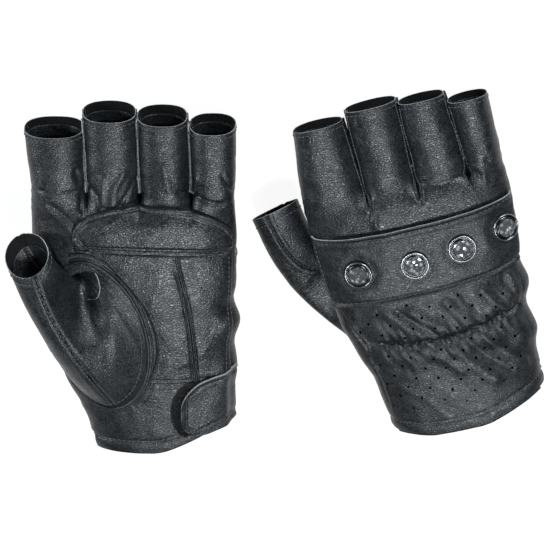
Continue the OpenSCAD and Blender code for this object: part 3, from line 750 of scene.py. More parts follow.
def sweep(name, g, path, normals, profile, materials, slots=None, closed=False):
    """Carries a profile of (across, out) points, in millimetres, along a path."""
    if closed:
        tangent = unit(np.roll(path, -1, 0) - np.roll(path, 1, 0))
    else:
        tangent = unit(np.gradient(path, axis=0))
    normals = unit(normals - tangent * np.sum(normals * tangent, -1, keepdims=True))
    across = np.cross(tangent, normals)
    count, sides = len(path), len(profile)
    points = np.stack([path + across * u + normals * h for u, h in profile], 1).reshape(-1, 3)
    faces, face_slots = [], []
    for i in range(count if closed else count - 1):
        for j in range(sides):
            a, b = i * sides + j, i * sides + (j + 1) % sides
            c, d = ((i + 1) % count) * sides + (j + 1) % sides, ((i + 1) % count) * sides + j
            faces.append((a, b, c, d))
            face_slots.append(slots[j] if slots else 0)
    if not closed:
        faces.append(tuple(reversed(range(sides))))
        faces.append(tuple((count - 1) * sides + j for j in range(sides)))
        face_slots += [0, 0]
    return make_mesh(name, g, points, faces, materials, face_slots)


def resample(path, normals, step):
    """Places a step apart along a path, with the directions ahead and outwards at each."""
    length = np.concatenate([[0], np.cumsum(np.linalg.norm(np.diff(path, axis=0), axis=1))])
    count = max(2, int(length[-1] / step))
    at = (np.arange(count) + 0.5) / count * length[-1]
    out = np.stack([np.interp(at, length, path[:, i]) for i in range(3)], -1)
    ahead = np.stack([np.interp(at + 0.4, length, path[:, i]) for i in range(3)], -1)
    nrm = unit(np.stack([np.interp(at, length, normals[:, i]) for i in range(3)], -1))
    return out, unit(ahead - out + 1e-9), nrm


STITCH_RINGS = ((-0.5, 0.25), (-0.36, 0.85), (0.0, 1.0), (0.36, 0.85), (0.5, 0.25))
STITCH_SIDES = 6


def stitches(name, g, paths, pitch=2.5, length=1.9, radius=0.3):
    """Thread along paths of (points, normals), one small rounded stitch after another."""
    points, faces = [], []
    for path, normals in paths:
        at, along, out = resample(path, normals, pitch)
        side = np.cross(along, out)
        for p, t, n, s in zip(at, along, out, side):
            first = len(points)
            for place, size in STITCH_RINGS:
                for k in range(STITCH_SIDES):
                    a = 2 * math.pi * k / STITCH_SIDES
                    lift = 0.12 * (1 - (2 * place) ** 2)
                    points.append(p + t * place * length + s * math.cos(a) * radius * size
                                  + n * (math.sin(a) * radius * size + lift))
            for i in range(len(STITCH_RINGS) - 1):
                for k in range(STITCH_SIDES):
                    a, b = first + i * STITCH_SIDES + k, first + i * STITCH_SIDES + (k + 1) % STITCH_SIDES
                    faces.append((a, b, b + STITCH_SIDES, a + STITCH_SIDES))
            last = first + (len(STITCH_RINGS) - 1) * STITCH_SIDES
            faces.append(tuple(first + k for k in reversed(range(STITCH_SIDES))))
            faces.append(tuple(last + k for k in range(STITCH_SIDES)))
    return make_mesh(name, g, np.array(points), faces, [THREAD])


def join(name, g, pieces):
    """One object from several, with each material in one slot."""
    slots = []
    for p in pieces:
        for m in p.data.materials:
            if m not in slots:
                slots.append(m)
    points, faces, face_slots, smooth_faces = [], [], [], []
    for p in pieces:
        first = len(points)
        points += [tuple(v.co) for v in p.data.vertices]
        own = [slots.index(m) for m in p.data.materials]
        for f in p.data.polygons:
            faces.append([first + v for v in f.vertices])
            face_slots.append(own[f.material_index])
            smooth_faces.append(f.use_smooth)
        mesh = p.data
        bpy.data.objects.remove(p)
        bpy.data.meshes.remove(mesh)
    return mesh_object(f"{SIDES[g]}_{name}", points, faces, slots, face_slots, smooth_faces)


# ---------------------------------------------------------------- panels of the hand

STALL_COLUMNS, STALL_ROWS, SIDE_COLUMNS = 32, 36, 15
PARED = 0.85
STEP = 1.1
EDGE = bow(math.cos(math.radians(EDGE_DIR)))
SKIN_SET = [BLACK, LIT_CUT_EDGE, FLESH_AND_HOLE_SHADE]


def columns(g):
    """Stall, direction on it, and share of the half width at the crotches, of each column across the hand."""
    found = []
    for k in range(4):
        m, w, _ = stall_shape(g, k, 0.0)
        for direction in np.linspace(180 - EDGE_DIR, EDGE_DIR, STALL_COLUMNS):
            found.append((k, direction, float(m + w * bow(math.cos(math.radians(direction))))))
        if k < 3:
            found.append((k, None, float(crotch_x(g, k))))
    stalls = np.array([f[0] for f in found])
    directions = np.array([-1.0 if f[1] is None else f[1] for f in found])
    shares = (np.array([f[2] for f in found]) - mid_x(g, 0.0)) / half_w(g, 0.0)
    return stalls, directions, shares


def column_x(g, shares, y):
    """Where the columns lie at y: in line with the stalls at the top, evenly spread lower down."""
    even = lerp(-EDGE, EDGE, (shares - shares[0]) / (shares[-1] - shares[0]))
    return mid_x(g, y) + half_w(g, y) * lerp(shares, even, smooth(-y / 30))


def stall_surface(g, k, direction, row, d):
    """Place and outward direction on a stall, wrinkles included."""
    def at(a, r):
        return stall_point(g, k, a, r, d)
    direction, row = paired(direction, row)
    across = at(direction + 2, row) - at(direction - 2, row)
    n = unit(np.cross(across, at(direction, row + 0.02) - at(direction, row - 0.02)))
    y = row * STALLS[g][k][4]
    centre = np.stack([stall_shape(g, k, y)[0], y, sag(g, y)], -1)
    p = at(direction, row)
    n = n * np.where(np.sum(n * (p - centre), -1, keepdims=True) < 0, -1, 1)
    r = both_reliefs(g, p[..., 0], p[..., 1], np.sin(np.radians(direction)))
    return p + n * r[..., None], n


def rim_thickness():
    """The leather is pared towards a stall's rim."""
    return LEATHER - PARED * smooth((np.linspace(0, 1, STALL_ROWS + 1)[1:] - 0.86) / 0.14)


def cut_hole(g, plain):
    """The grid faces that the thumb hole takes away, and the grid with corners moved onto its edge."""
    rows, count = plain.shape[:2]
    middle = (plain[:-1, :-1] + plain[1:, 1:]) / 2
    gone = hole_share(g, middle[..., 0], middle[..., 1]) < 1
    around = np.zeros((rows, count), int)
    for a, b in ((0, 0), (0, 1), (1, 0), (1, 1)):
        around[a:a + rows - 1, b:b + count - 1] += gone
    edge = (around > 0) & (around < 4)
    hole = np.array(HOLE[g][:2], float)
    share = hole_share(g, plain[..., 0], plain[..., 1])[..., None]
    return gone, np.where(edge[..., None], hole + (plain - hole) / share, plain)


def stall_halves(g, side, stalls, directions):
    """One half of each of the four stalls, as further rows of the panel's grid."""
    points, normals = [], []
    for row in np.linspace(0, 1, STALL_ROWS + 1)[1:]:
        p, n = np.zeros((2, len(stalls), 3))
        for k in range(4):
            own = (stalls == k) & (directions > 0)
            p[own], n[own] = stall_surface(g, k, directions[own] * side, row, 0)
        points.append(p)
        normals.append(n)
    return np.stack(points), np.stack(normals)


def trank(g, side):
    """The palm or back of the hand with its half of the four stalls."""
    stalls, directions, shares = columns(g)
    low = CUFF_TOP if side == PALM else BAND_SEAM
    ys = np.linspace(low, 0, int(-low / STEP))
    count = len(shares)
    plain = np.stack([np.stack([column_x(g, shares, y), np.full(count, y)], -1) for y in ys])
    keep = np.ones((len(ys) - 1 + STALL_ROWS, count - 1), bool)
    if side == PALM:
        gone, plain = cut_hole(g, plain)
        keep[:len(ys) - 1] = ~gone
    keep[len(ys) - 1:] = (directions[:-1] > 0) & (directions[1:] > 0)
    points, normals = surface(g, side, plain[..., 0], plain[..., 1], 0)
    tops, top_normals = stall_halves(g, side, stalls, directions)
    outer = np.concatenate([points, tops])
    normal = np.concatenate([normals, top_normals])
    thick = np.concatenate([np.full(len(ys), LEATHER), rim_thickness()])[:, None, None]
    name = "palm_trank" if side == PALM else "back_trank"
    return shell(f"{name}_skin", g, outer, outer - normal * thick, SKIN_SET, keep)


def cuff_grid(g, side, top, rows):
    _, _, shares = columns(g)
    even = lerp(-EDGE, EDGE, (shares - shares[0]) / (shares[-1] - shares[0]))
    even_low = np.sin(np.linspace(-1, 1, len(even)) * math.radians(75)) / math.sin(math.radians(75)) * EDGE
    v = np.linspace(0, 1, rows)[:, None]
    even = lerp(even_low, even, smooth(v))
    low = hem_line(g, mid_x(g, HEM_Y[g]) + even * half_w(g, HEM_Y[g]))
    y = lerp(low, top, v)
    return mid_x(g, y) + half_w(g, y) * even, y


PUNCH_A, PUNCH_B = np.array([5.4, -7.4]), np.array([5.2, 4.5])
PUNCH_FROM = np.array([-28.6, -101.1])
# How far the holes stay off the wrist edge and off the seams, and the share of the half width they reach
PUNCH_OFF_HEM, PUNCH_OFF_SEAM, PUNCH_REACH = 15, 3, 0.86


def punch_places(g, x, y):
    """Grid corners nearest to a staggered lattice of holes over the middle of the panel."""
    found = []
    rows, cols = x.shape
    for a in range(-14, 15):
        for b in range(-20, 21):
            px, py = a * PUNCH_A + b * PUNCH_B + PUNCH_FROM
            inside = hem_line(g, px) + PUNCH_OFF_HEM < py < band_low(px) - PUNCH_OFF_SEAM
            if not inside or abs(px - mid_x(g, py)) > PUNCH_REACH * half_w(g, py):
                continue
            if abs(py - curve(px, GATHER)) < PUNCH_OFF_SEAM:
                continue
            away = np.hypot(x - px, y - py)
            i, j = np.unravel_index(np.argmin(away), away.shape)
            clear = all(abs(i - p) > 2 or abs(j - q) > 2 for p, q in found)
            if clear and 1 < i < rows - 2 and 1 < j < cols - 2:
                found.append((int(i), int(j)))
    return found


def cuff(g, side):
    top = CUFF_TOP if side == PALM else BAND_SEAM
    x, y = cuff_grid(g, side, top - 0.02, int((top - HEM_Y[g]) / STEP))
    points, normals = surface(g, side, x, y, 0)
    name = "palm_cuff" if side == PALM else "back_cuff_panel"
    holes = punch_places(g, x, y) if side == BACK else ()
    return shell(f"{name}_skin", g, points, points - normals * LEATHER,
                 [BLACK if side == PALM else CUFF, LIT_CUT_EDGE, FLESH_AND_HOLE_SHADE], punched=holes)


def side_row(g, hand, y, j):
    """One row across a side panel between the edges of the back and the palm: places and directions."""
    turns = np.linspace(1, -1, SIDE_COLUMNS)
    _, _, shares = columns(g)
    x = column_x(g, shares, y)[j] if y > CUFF_TOP else mid_x(g, y) + hand * EDGE * half_w(g, y)
    z = float(skin(g, PALM, x, y, 0)[2] - sag(g, y))
    m = float(mid_x(g, y) + hand * half_w(g, y))
    bulge = 1 - turns ** 2
    share = (turns + 1) / 2
    row = np.stack([x + (m - x) * bulge, np.full(SIDE_COLUMNS, y), turns * z + sag(g, y)], -1)
    facing = unit(np.stack([hand * (0.25 + bulge), np.zeros(SIDE_COLUMNS), turns], -1))
    row = row + facing * lerp(relief(g, BACK, x, y), relief(g, PALM, x, y), share)[:, None]
    (palm_end, palm_facing), (back_end, back_facing) = surface(g, PALM, x, y, 0), surface(g, BACK, x, y, 0)
    share = share[:, None]
    row = row + lerp(back_end - row[-1], palm_end - row[0], share)
    return row, unit(facing + lerp(back_facing - facing[-1], palm_facing - facing[0], share))


def edge_strip(g, hand, low, high, finger, name):
    """A side panel: hand is 1 by the little finger and -1 by the thumb."""
    ys = np.linspace(low, high, int((high - low) / STEP))
    found = [side_row(g, hand, y, -1 if hand > 0 else 0) for y in ys]
    if finger:
        k, start = (3, 0) if hand > 0 else (0, 180)
        around = start + hand * EDGE_DIR * np.linspace(1, -1, SIDE_COLUMNS)
        found += [stall_surface(g, k, around, row, 0) for row in np.linspace(0, 1, STALL_ROWS + 1)[1:]]
    outer, normal = (np.array(rows) for rows in zip(*found))
    thick = np.concatenate([np.full(len(ys), LEATHER), rim_thickness() if finger else []])[:, None, None]
    return shell(f"{name}_skin", g, outer, outer - normal * thick, SKIN_SET)


def fourchettes(g, k, name):
    """The two strips between neighbouring stalls."""
    strips = []
    for finger, start, turn in ((k, 0, 1), (k + 1, 180, -1)):
        around = start + turn * np.linspace(EDGE_DIR, -EDGE_DIR, 13)
        row, direction = grid(np.linspace(0, 1, STALL_ROWS + 1), around)
        p, n = stall_surface(g, finger, direction, row, 0)
        thick = np.concatenate([[LEATHER], rim_thickness()])[:, None, None]
        strips.append(shell(f"strip_{finger}", g, p, p - n * thick, SKIN_SET))
    return join(f"{name}_skin", g, strips)


def stall_hems(g):
    """The hems turned into the stalls; the thread round them is drawn by hem_stitches."""
    pieces = []
    for k in range(4):
        length = STALLS[g][k][4]
        row, direction = grid(np.linspace(1 - 10 / length, 0.89, 8), np.arange(0, 360, 5.0))
        p, n = stall_surface(g, k, direction, row, 0)
        p = p - n * (LEATHER + 0.05)
        pieces.append(shell(f"hem_{k}", g, p, p - n * 0.5, [BLACK, BLACK, BLACK], ring=True))
    return join("finger_hem_leather", g, pieces)


def layer(g, side, x, y, lift, extra=0.0):
    """Outer face of a patch laid lift above the glove, raised further by extra."""
    p, n = surface(g, side, x, y, lift + LEATHER)
    return p + n * np.asarray(extra, float)[..., None], n


# ---------------------------------------------------------------- padded palm

PAD_LEFT, PAD_RIGHT = -30.0, 46.0
PAD_LIFT, PAD_CROWN = 0.3, 3.0
PAD_SEAMS = (0.075, 0.16)


def pad_low(x):
    """The pad's straight seam."""
    return -26.5 - 0.045 * (x - PAD_LEFT)


def pad_high(x):
    """The pad's arch."""
    middle = (PAD_LEFT + PAD_RIGHT) / 2
    return pad_low(x) + 4 + 20.5 * dome((x - middle) / (PAD_RIGHT - middle + 1))


def arch_row(u):
    """Where the row of stitches beside the arch lies, as a share of the pad's height."""
    return 1 - 0.09 / np.maximum(0.35, np.sin(np.pi * u))


def pad_face(g, u, v):
    """Outer face of the D-shaped pad: u runs across it and v from its straight seam to the arch."""
    u, v = paired(u, v)
    x = lerp(PAD_LEFT, PAD_RIGHT, (1 - np.cos(np.pi * u)) / 2)
    y = lerp(pad_low(x), pad_high(x), v)
    crown = PAD_CROWN * dome(2 * u - 1) * dome(2 * v - 1) ** 0.8
    depth = np.clip((y - pad_low(x)) / 4, 0, 1)
    dents = sum(bell((y - lerp(pad_low(x), pad_high(x), s)) / 0.7) for s in PAD_SEAMS)
    dents = dents + 0.8 * bell((v - arch_row(u)) * (pad_high(x) - pad_low(x)) / 0.7)
    wrinkles = 0.35 * (folds(x, y, 12, 6, 40, 71 + g) - 0.6) * dome(2 * v - 1)
    return layer(g, PALM, x, y, PAD_LIFT, crown * smooth(depth) - 0.9 * dents + wrinkles)


def palm_pad(g):
    v, u = shares_grid(60, 110)
    p, n = pad_face(g, u, v)
    return shell("palm_pad_leather", g, p, p - n * LEATHER, [PATCH, PATCH, FLESH_AND_HOLE_SHADE], bevel=0.45)


def pad_foam(g):
    """Foam between the pad and the palm."""
    v, u = grid(np.linspace(0.12, 0.9, 24), np.linspace(0.1, 0.9, 48))
    p, n = pad_face(g, u, v)
    x = lerp(PAD_LEFT, PAD_RIGHT, (1 - np.cos(np.pi * u)) / 2)
    low, _ = layer(g, PALM, x, lerp(pad_low(x), pad_high(x), v), 0.05 - LEATHER)
    return shell("palm_pad_foam", g, p - n * (LEATHER + 0.1), low, [FOAM, FOAM, FOAM], bevel=0)


def pad_stitches(g):
    """Thread across the pad and one row beside its arch."""
    u = np.linspace(0.06, 0.94, 200)
    paths = [pad_face(g, u, np.full(200, s)) for s in PAD_SEAMS]
    t = np.linspace(0.02, 0.98, 240)
    paths.append(pad_face(g, t, arch_row(t)))
    return stitches("palm_pad_thread", g, paths, radius=0.28)


HEEL_SEAM = ((-99, 28.5), (-58, 24.5), (-32, 19.3))
HEEL_INNER = (
    ((-99, 6), (-87, 9), (-75, 9), (-65, 6.5), (-53, 1), (-39, -10), (-32, -16)),
    ((-99, -22), (-87, -19), (-70, -18), (-53, -20), (-39, -25), (-32, -29)),
)
HEEL_LOW = -100.0
HEEL_TOP, HEEL_OFF_EDGE = -28.5, 3.5
SEAM_HALF = 1.2


def heel_face(g, inner, s, v):
    """Outer face of a heel patch: s runs from left to right and v from the wrist to the pad."""
    s, v = paired(s, v)
    y = lerp(HEEL_LOW, HEEL_TOP, v)
    seam = curve(y, HEEL_SEAM)
    left = curve(y, HEEL_INNER[g]) if inner else seam + 0.05
    right = seam - 0.05 if inner else curve(y, ULNAR[g]) - HEEL_OFF_EDGE
    x = lerp(left, right, s)
    y = lerp(HEEL_LOW, pad_low(x) - 0.3, v)
    to_seam = np.abs(x - seam)
    puff = 1.1 * dome(2 * s - 1) * dome(2 * v - 1)
    strip = 0.35 * (to_seam < SEAM_HALF) - 0.7 * bell((to_seam - SEAM_HALF) / 0.4)
    hems = 0.7 * bell((y - HEEL_LOW - 2) / 0.45) * (to_seam > SEAM_HALF)
    creases = 0.4 * (folds(x, y, 74, 14, 44, 81 + g) - 0.62) * dome(2 * s - 1)
    return layer(g, PALM, x, y, GAP, puff + strip + creases - hems)


def heel_patch(g, inner):
    v, s = shares_grid(84, 44)
    p, n = heel_face(g, inner, s, v)
    name = "heel_patch_inner" if inner else "heel_patch_outer"
    return shell(f"{name}_leather", g, p, p - n * LEATHER, [PATCH, PATCH, FLESH_AND_HOLE_SHADE], bevel=0.35)


def heel_stitches(g):
    """Two rows down the long seam, one beside each free edge and one along the bottom."""
    v = np.linspace(0.01, 0.985, 200)
    y = lerp(HEEL_LOW, HEEL_TOP, v)
    s = np.linspace(0.03, 0.97, 120)
    paths = []
    for inner in (True, False):
        seam = curve(y, HEEL_SEAM)
        wide = seam - curve(y, HEEL_INNER[g]) if inner else curve(y, ULNAR[g]) - HEEL_OFF_EDGE - seam
        paths.append(heel_face(g, inner, 1 - SEAM_HALF / wide if inner else SEAM_HALF / wide, v))
        paths.append(heel_face(g, inner, 2.0 / wide if inner else 1 - 2.0 / wide, v))
        paths.append(heel_face(g, inner, s, np.full(120, 0.028)))
    return stitches("heel_thread", g, paths, radius=0.26)


# ---------------------------------------------------------------- knuckle band and studs

BAND_ENDS = (164.0, 16.0)
# How far its stitches are from its long edges, and how deep it is about there
BAND_STITCH, BAND_DEEP = 2.4, 38


def band_high(x):
    return -18 - 5 * dome(x / 52)


def band_low(x):
    return -54 - 6.5 * dome((x + 8) / 60)


def band_face(g, s, v):
    """Outer face of the knuckle band: s runs across the hand and v from the lower edge to the upper one."""
    s, v = paired(s, v)
    a = np.radians(lerp(BAND_ENDS[0], BAND_ENDS[1], s))
    x = mid_x(g, -40) + half_w(g, -40) * bow(np.cos(a))
    low, high = band_low(x), band_high(x)
    y = lerp(low, high, v)
    x = mid_x(g, y) + half_w(g, y) * bow(np.cos(a))
    dents = bell((y - low - BAND_STITCH) / 0.6) + bell((high - y - BAND_STITCH) / 0.6)
    rolls = 0.35 * bell((y - low) / 1.3) + 0.35 * bell((high - y) / 1.3)
    open_edge = 1.5 * smooth((y - high + 7) / 7) * smooth(s / 0.08) * smooth((1 - s) / 0.06)
    waves = 0.3 * noise(x, y, 14, 91 + g)
    return layer(g, BACK, x, y, BAND_LIFT, open_edge + rolls + waves - 0.75 * dents)


def knuckle_band(g):
    v, s = shares_grid(52, 130)
    p, n = band_face(g, s, v)
    return shell("knuckle_band_leather", g, p, p - n * LEATHER, [CUFF, LIT_CUT_EDGE, FLESH_AND_HOLE_SHADE], bevel=0.3)


def band_stitches(g):
    """Thread along both long edges of the band and down its end by the thumb."""
    s = np.linspace(0.01, 0.99, 400)
    deep = BAND_STITCH / BAND_DEEP
    v = np.linspace(0.05, 0.95, 100)
    paths = [band_face(g, s, np.full(400, deep)), band_face(g, s, np.full(400, 1 - deep)),
             band_face(g, np.full(100, 0.035), v)]
    return stitches("knuckle_band_thread", g, paths, radius=0.26)


def lathe(profile, sides):
    """Points and faces of a closed body turned from a profile of (radius, height) points."""
    points, faces = [(0, 0, profile[0][1])], []
    for r, h in profile:
        points += [(r * math.cos(2 * math.pi * k / sides), r * math.sin(2 * math.pi * k / sides), h)
                   for k in range(sides)]
    points.append((0, 0, profile[-1][1]))
    last = len(points) - 1
    for k in range(sides):
        e = (k + 1) % sides
        faces.append((0, 1 + e, 1 + k))
        faces.append((last, last - sides + k, last - sides + e))
        for i in range(len(profile) - 1):
            a = 1 + i * sides
            faces.append((a + k, a + e, a + sides + e, a + sides + k))
    return np.array(points), faces


STUD_SUNK = 0.15
# Places about a stud where the leather's direction is read
ABOUT_STUD = ((5, 0), (-5, 0), (0, 5), (0, -5))


def stud_frames(g):
    """Middle and axes of each stud, which leans with the leather under it."""
    frames = []
    for sx, sy in STUDS:
        p, n = surface(g, BACK, sx, sy, BAND_LIFT + LEATHER)
        for dx, dy in ABOUT_STUD:
            n = n + surface(g, BACK, sx + dx, sy + dy, BAND_LIFT + LEATHER)[1]
        n = unit(n)
        across = unit(np.cross(n, (0, 1, 0)))
        frames.append((p - n * STUD_SUNK, np.stack([across, np.cross(n, across), n])))
    return frames


def on_studs(name, g, points, faces, materials, smooth_shade, slots=None):
    """The same small body on each of the four studs, as one mesh."""
    all_points, all_faces, all_slots = [], [], []
    for i, (p, axes) in enumerate(stud_frames(g)):
        all_points.append(p + points @ axes)
        all_faces += [tuple(v + i * len(points) for v in f) for f in faces]
        all_slots += slots or [0] * len(faces)
    return make_mesh(name, g, np.concatenate(all_points), all_faces, materials, all_slots, smooth_shade)


# Radius of the crystal's seat
SEAT = STUD_D / 2 - 2.0


def stud_setting(g):
    """The dished setting: a thin rim round a channel that holds the crystal; the rim's crest takes a lighter
    copy of the metal as painted highlight, the rest a dark one as painted shade.
    """
    rim = STUD_D / 2
    profile = [
        (1.4, -5.0), (1.5, 0.0), (rim - 0.2, 0.0), (rim, 0.25), (rim + 0.05, 0.8), (rim - 0.15, 1.25),
        (rim - 0.45, 1.38), (rim - 0.75, 1.2), (rim - 0.95, 0.75), (SEAT + 0.45, 0.7),
        (SEAT + 0.35, 1.5), (SEAT + 0.05, 1.75), (SEAT - 0.2, 1.6), (SEAT - 0.25, 1.0),
    ]
    points, faces = lathe(profile, 64)
    radii = np.hypot(points[:, 0], points[:, 1])
    # Faces on the rim's crest take the lighter metal: painted highlight
    slots = [1 if radii[list(f)].min() > rim - 0.8 and points[list(f), 2].max() > 0.7 else 0 for f in faces]
    return on_studs("stud_setting_metal", g, points, faces, [NICKEL_AND_SHADE, RIM_HIGHLIGHT_METAL], True, slots)


# The crystal: facets in a ring, height of its flat base, how unevenly its facets are cut
FACETS, CRYSTAL_BASE, UNEVEN = 12, 1.05, 0.26


def stud_crystal(g):
    """A domed stone cut in rings of flat facets."""
    rings = [(SEAT - 0.3, CRYSTAL_BASE), (SEAT - 0.3, 1.7), (SEAT * 0.86, 2.3), (SEAT * 0.62, 2.75),
             (SEAT * 0.36, 3.0), (SEAT * 0.14, 3.1)]
    count = FACETS
    rng = np.random.default_rng(5)
    points = [(0, 0, CRYSTAL_BASE)]
    for i, (r, h) in enumerate(rings):
        uneven = UNEVEN if i > 1 else 0.0
        for k in range(count):
            a = 2 * math.pi * (k + 0.5 * (i % 2)) / count
            points.append((r * math.cos(a), r * math.sin(a), h + uneven * rng.uniform(-1, 1)))
    faces = [(0, 1 + (k + 1) % count, 1 + k) for k in range(count)]
    for i in range(len(rings) - 1):
        a, b = 1 + i * count, 1 + (i + 1) * count
        for k in range(count):
            e = (k + 1) % count
            if i % 2 == 0:
                faces += [(a + k, a + e, b + k), (a + e, b + e, b + k)]
            else:
                faces += [(a + k, b + e, b + k), (a + k, a + e, b + e)]
    faces.append(tuple(1 + (len(rings) - 1) * count + k for k in range(count)))
    return on_studs("stud_crystal_stone", g, np.array(points), faces, [CRYSTAL], False)


def stud_washer(g):
    """The rings behind the leather that hold the rivets."""
    profile = [(1.6, -4.9), (3.4, -4.9), (3.5, -4.7), (3.4, -4.4), (1.6, -4.4)]
    points, faces = lathe(profile, 40)
    return on_studs("stud_washer_metal", g, points, faces, [NICKEL_AND_SHADE], True)


# ---------------------------------------------------------------- wrist: hem, elastic, loop patch and strap

def hem_face(g, direction, up, d):
    """A point round the wrist edge, up from it, d outside the leather's outer face."""
    direction, up = paired(direction, up)
    share = bow(np.cos(np.radians(direction)))
    x = mid_x(g, HEM_Y[g]) + half_w(g, HEM_Y[g]) * share
    y = hem_line(g, x) + up
    m, w, h = mid_x(g, y), half_w(g, y) + d, curve(y, HALF) + d
    rise = bow(np.sin(np.radians(direction)))
    r = both_reliefs(g, m + w * share, y, rise)
    return np.stack([m + (w + r) * share, y, (h + r) * rise + sag(g, y)], -1)


def wrist_hem(g):
    up, direction = grid(np.linspace(-0.3, 8, 9), np.arange(0, 360, 2.0))
    outer = hem_face(g, direction, up, -LEATHER - 0.05)
    inner = hem_face(g, direction, up, -2 * LEATHER - 0.05)
    return shell("wrist_hem_leather", g, outer, inner, [SOFT, LIT_CUT_EDGE, SOFT], ring=True)


def hem_stitches(g):
    """Thread round the wrist, above the edge, and round each stall under its rim."""
    direction = np.linspace(14, 166, 300)
    paths = []
    for turn in (1, -1):
        share = bow(np.cos(np.radians(direction)))
        x = mid_x(g, HEM_Y[g]) + half_w(g, HEM_Y[g]) * share
        y = hem_line(g, x) + HEM_WIDTH
        x = mid_x(g, y) + half_w(g, y) * share
        paths.append(surface(g, turn, x, y, 0.05))
    for k in range(4):
        length = STALLS[g][k][4]
        direction = np.linspace(0, 360, 200)
        paths.append(stall_surface(g, k, direction, np.full(200, 1 - 2.2 / length), 0.05))
    return stitches("hem_thread", g, paths, radius=0.22)


def wrist_elastic(g):
    """A ribbed band sewn inside the back of the wrist, drawn into waves."""
    middle = float(mid_x(g, GATHER_Y))
    reach = float(half_w(g, GATHER_Y)) - 10
    y, x = grid(np.linspace(GATHER_Y - 3.5, GATHER_Y + 3.5, 15),
                np.linspace(middle - reach, middle + reach, 90))
    p, n = surface(g, BACK, x, y, 0)
    ribs = 0.12 * np.cos(2 * np.pi * y / 1.75)[..., None]
    return shell("wrist_elastic_band", g, p - n * (LEATHER + 0.1), p - n * (2.3 + ribs),
                 [ELASTIC, ELASTIC, ELASTIC], bevel=0)


LOOP_FROM, LOOP_TO, LOOP_T = STRAP_REACH - 4.0, 41.0, 1.1
STRAP_ROUND = 14.0
STRAP_ROOT_DIR = (9.0, 30.0)
STRAP_BEND = (0.74, 0.78)


def strap_mid(x):
    """The strap's middle line."""
    return lerp(STRAP_TIP_Y, STRAP_ROOT_Y, np.clip((x - STRAP_REACH) / 28, 0, 1))


def strap_face(g, t, v):
    """Outer face of the strap: t runs from its round end to its root and v across it from -1 to 1."""
    t, v = paired(t, v)
    m, w = float(mid_x(g, STRAP_ROOT_Y)), float(half_w(g, STRAP_ROOT_Y))
    tip = math.degrees(math.acos(((STRAP_REACH - m) / w) ** (ROUND / 2)))
    x = m + w * bow(np.cos(np.radians(lerp(tip, STRAP_ROOT_DIR[g], t))))
    into = np.clip((x - STRAP_REACH) / STRAP_ROUND, 0, 1)
    taper = lerp(0.22, 1, np.sqrt(1 - (1 - into) ** 2.2))
    y = strap_mid(x) + v * taper * STRAP_W / 2
    edge = STRAP_W / 2 * (1 - np.abs(v)) * taper
    from_end = np.minimum(edge, (x - STRAP_REACH) + 0 * edge)
    dents = bell((from_end - 2.4) / 0.5)
    rolls = 0.4 * bell(from_end / 1.2)
    curl = 0.7 * bell((x - STRAP_REACH) / 7) * (0.4 + 0.6 * v * v)
    wave = 0.35 * noise(x, y, 12, 101 + g)
    lift = lerp(STRAP_LIFT, 0.4, smooth((x - LOOP_TO + 0.5) / 5))
    return layer(g, PALM, x, y, lift, curl + rolls + wave - 0.6 * dents)


def strap(g):
    v, t = grid(np.linspace(-1, 1, 40), np.linspace(0, 1, 64) ** 1.8)
    p, n = strap_face(g, t, v)
    return shell("strap_leather", g, p, p - n * (LEATHER + 0.3), [SOFT, LIT_CUT_EDGE, FLESH_AND_HOLE_SHADE], bevel=0.4)


def strap_stitches(g):
    """Thread round the strap's end and along both edges."""
    turn = np.linspace(-1, 1, 90)
    t = 0.085 + 0.11 * (1 - np.sqrt(1 - turn * turn))
    paths = [strap_face(g, t, 0.81 * turn)]
    paths += [strap_face(g, np.linspace(0.21, 0.99, 160), np.full(160, s * 0.83)) for s in (-1, 1)]
    return stitches("strap_thread", g, paths, radius=0.24)


TUFT_FACES = ((0, 1, 3), (1, 2, 3), (2, 0, 3), (0, 2, 1))


def tufts(g, x, y, base, height, seed):
    """Short bent hairs of pile standing on the palm side at the given places."""
    rng = np.random.default_rng(seed)
    p, n = surface(g, PALM, x, y, base)
    count = len(x)
    top = p + (n + rng.normal(0, 0.5, (count, 3))) * height * rng.uniform(0.6, 1.2, (count, 1))
    side = unit(np.cross(n, rng.normal(0, 1, (count, 3)))) * 0.13
    other = np.cross(unit(n), side)
    corners = [p + side, p - side * 0.5 + other * 0.87, p - side * 0.5 - other * 0.87, top]
    points = np.stack(corners, 1).reshape(-1, 3)
    faces = []
    for first in range(0, 4 * count, 4):
        faces += [tuple(first + corner for corner in face) for face in TUFT_FACES]
    return points, faces


def loop_end(v):
    """Where the loop patch ends under the strap's round end."""
    return LOOP_FROM + 9 * (1 - np.sqrt(1 - np.minimum(2 * np.abs(v), 1) ** 2))


def loop_patch(g):
    """The soft half of the fastener, sewn to the wrist."""
    v, t = grid(np.linspace(-0.48, 0.48, 34), np.linspace(0, 1, 28))
    x = lerp(loop_end(v), LOOP_TO, t)
    y = strap_mid(x) + v * STRAP_W
    p, n = surface(g, PALM, x, y, GAP + LOOP_T)
    p = p + n * (0.12 * noise(x, y, 1.2, 111 + g))[..., None]
    base = shell("base", g, p, p - n * LOOP_T, [PILE, PILE, PILE], bevel=0)
    rng = np.random.default_rng(5 + g)
    tv = rng.uniform(-0.49, 0.49, 2800)
    tx = loop_end(tv) + rng.uniform(-0.4, 8, 2800)
    ty = strap_mid(tx) + tv * STRAP_W
    points, faces = tufts(g, tx, ty, GAP + LOOP_T - 0.2, 1.0, 7 + g)
    return join("loop_patch_pile", g, [base, make_mesh("tufts", g, points, faces, [PILE], None, False)])


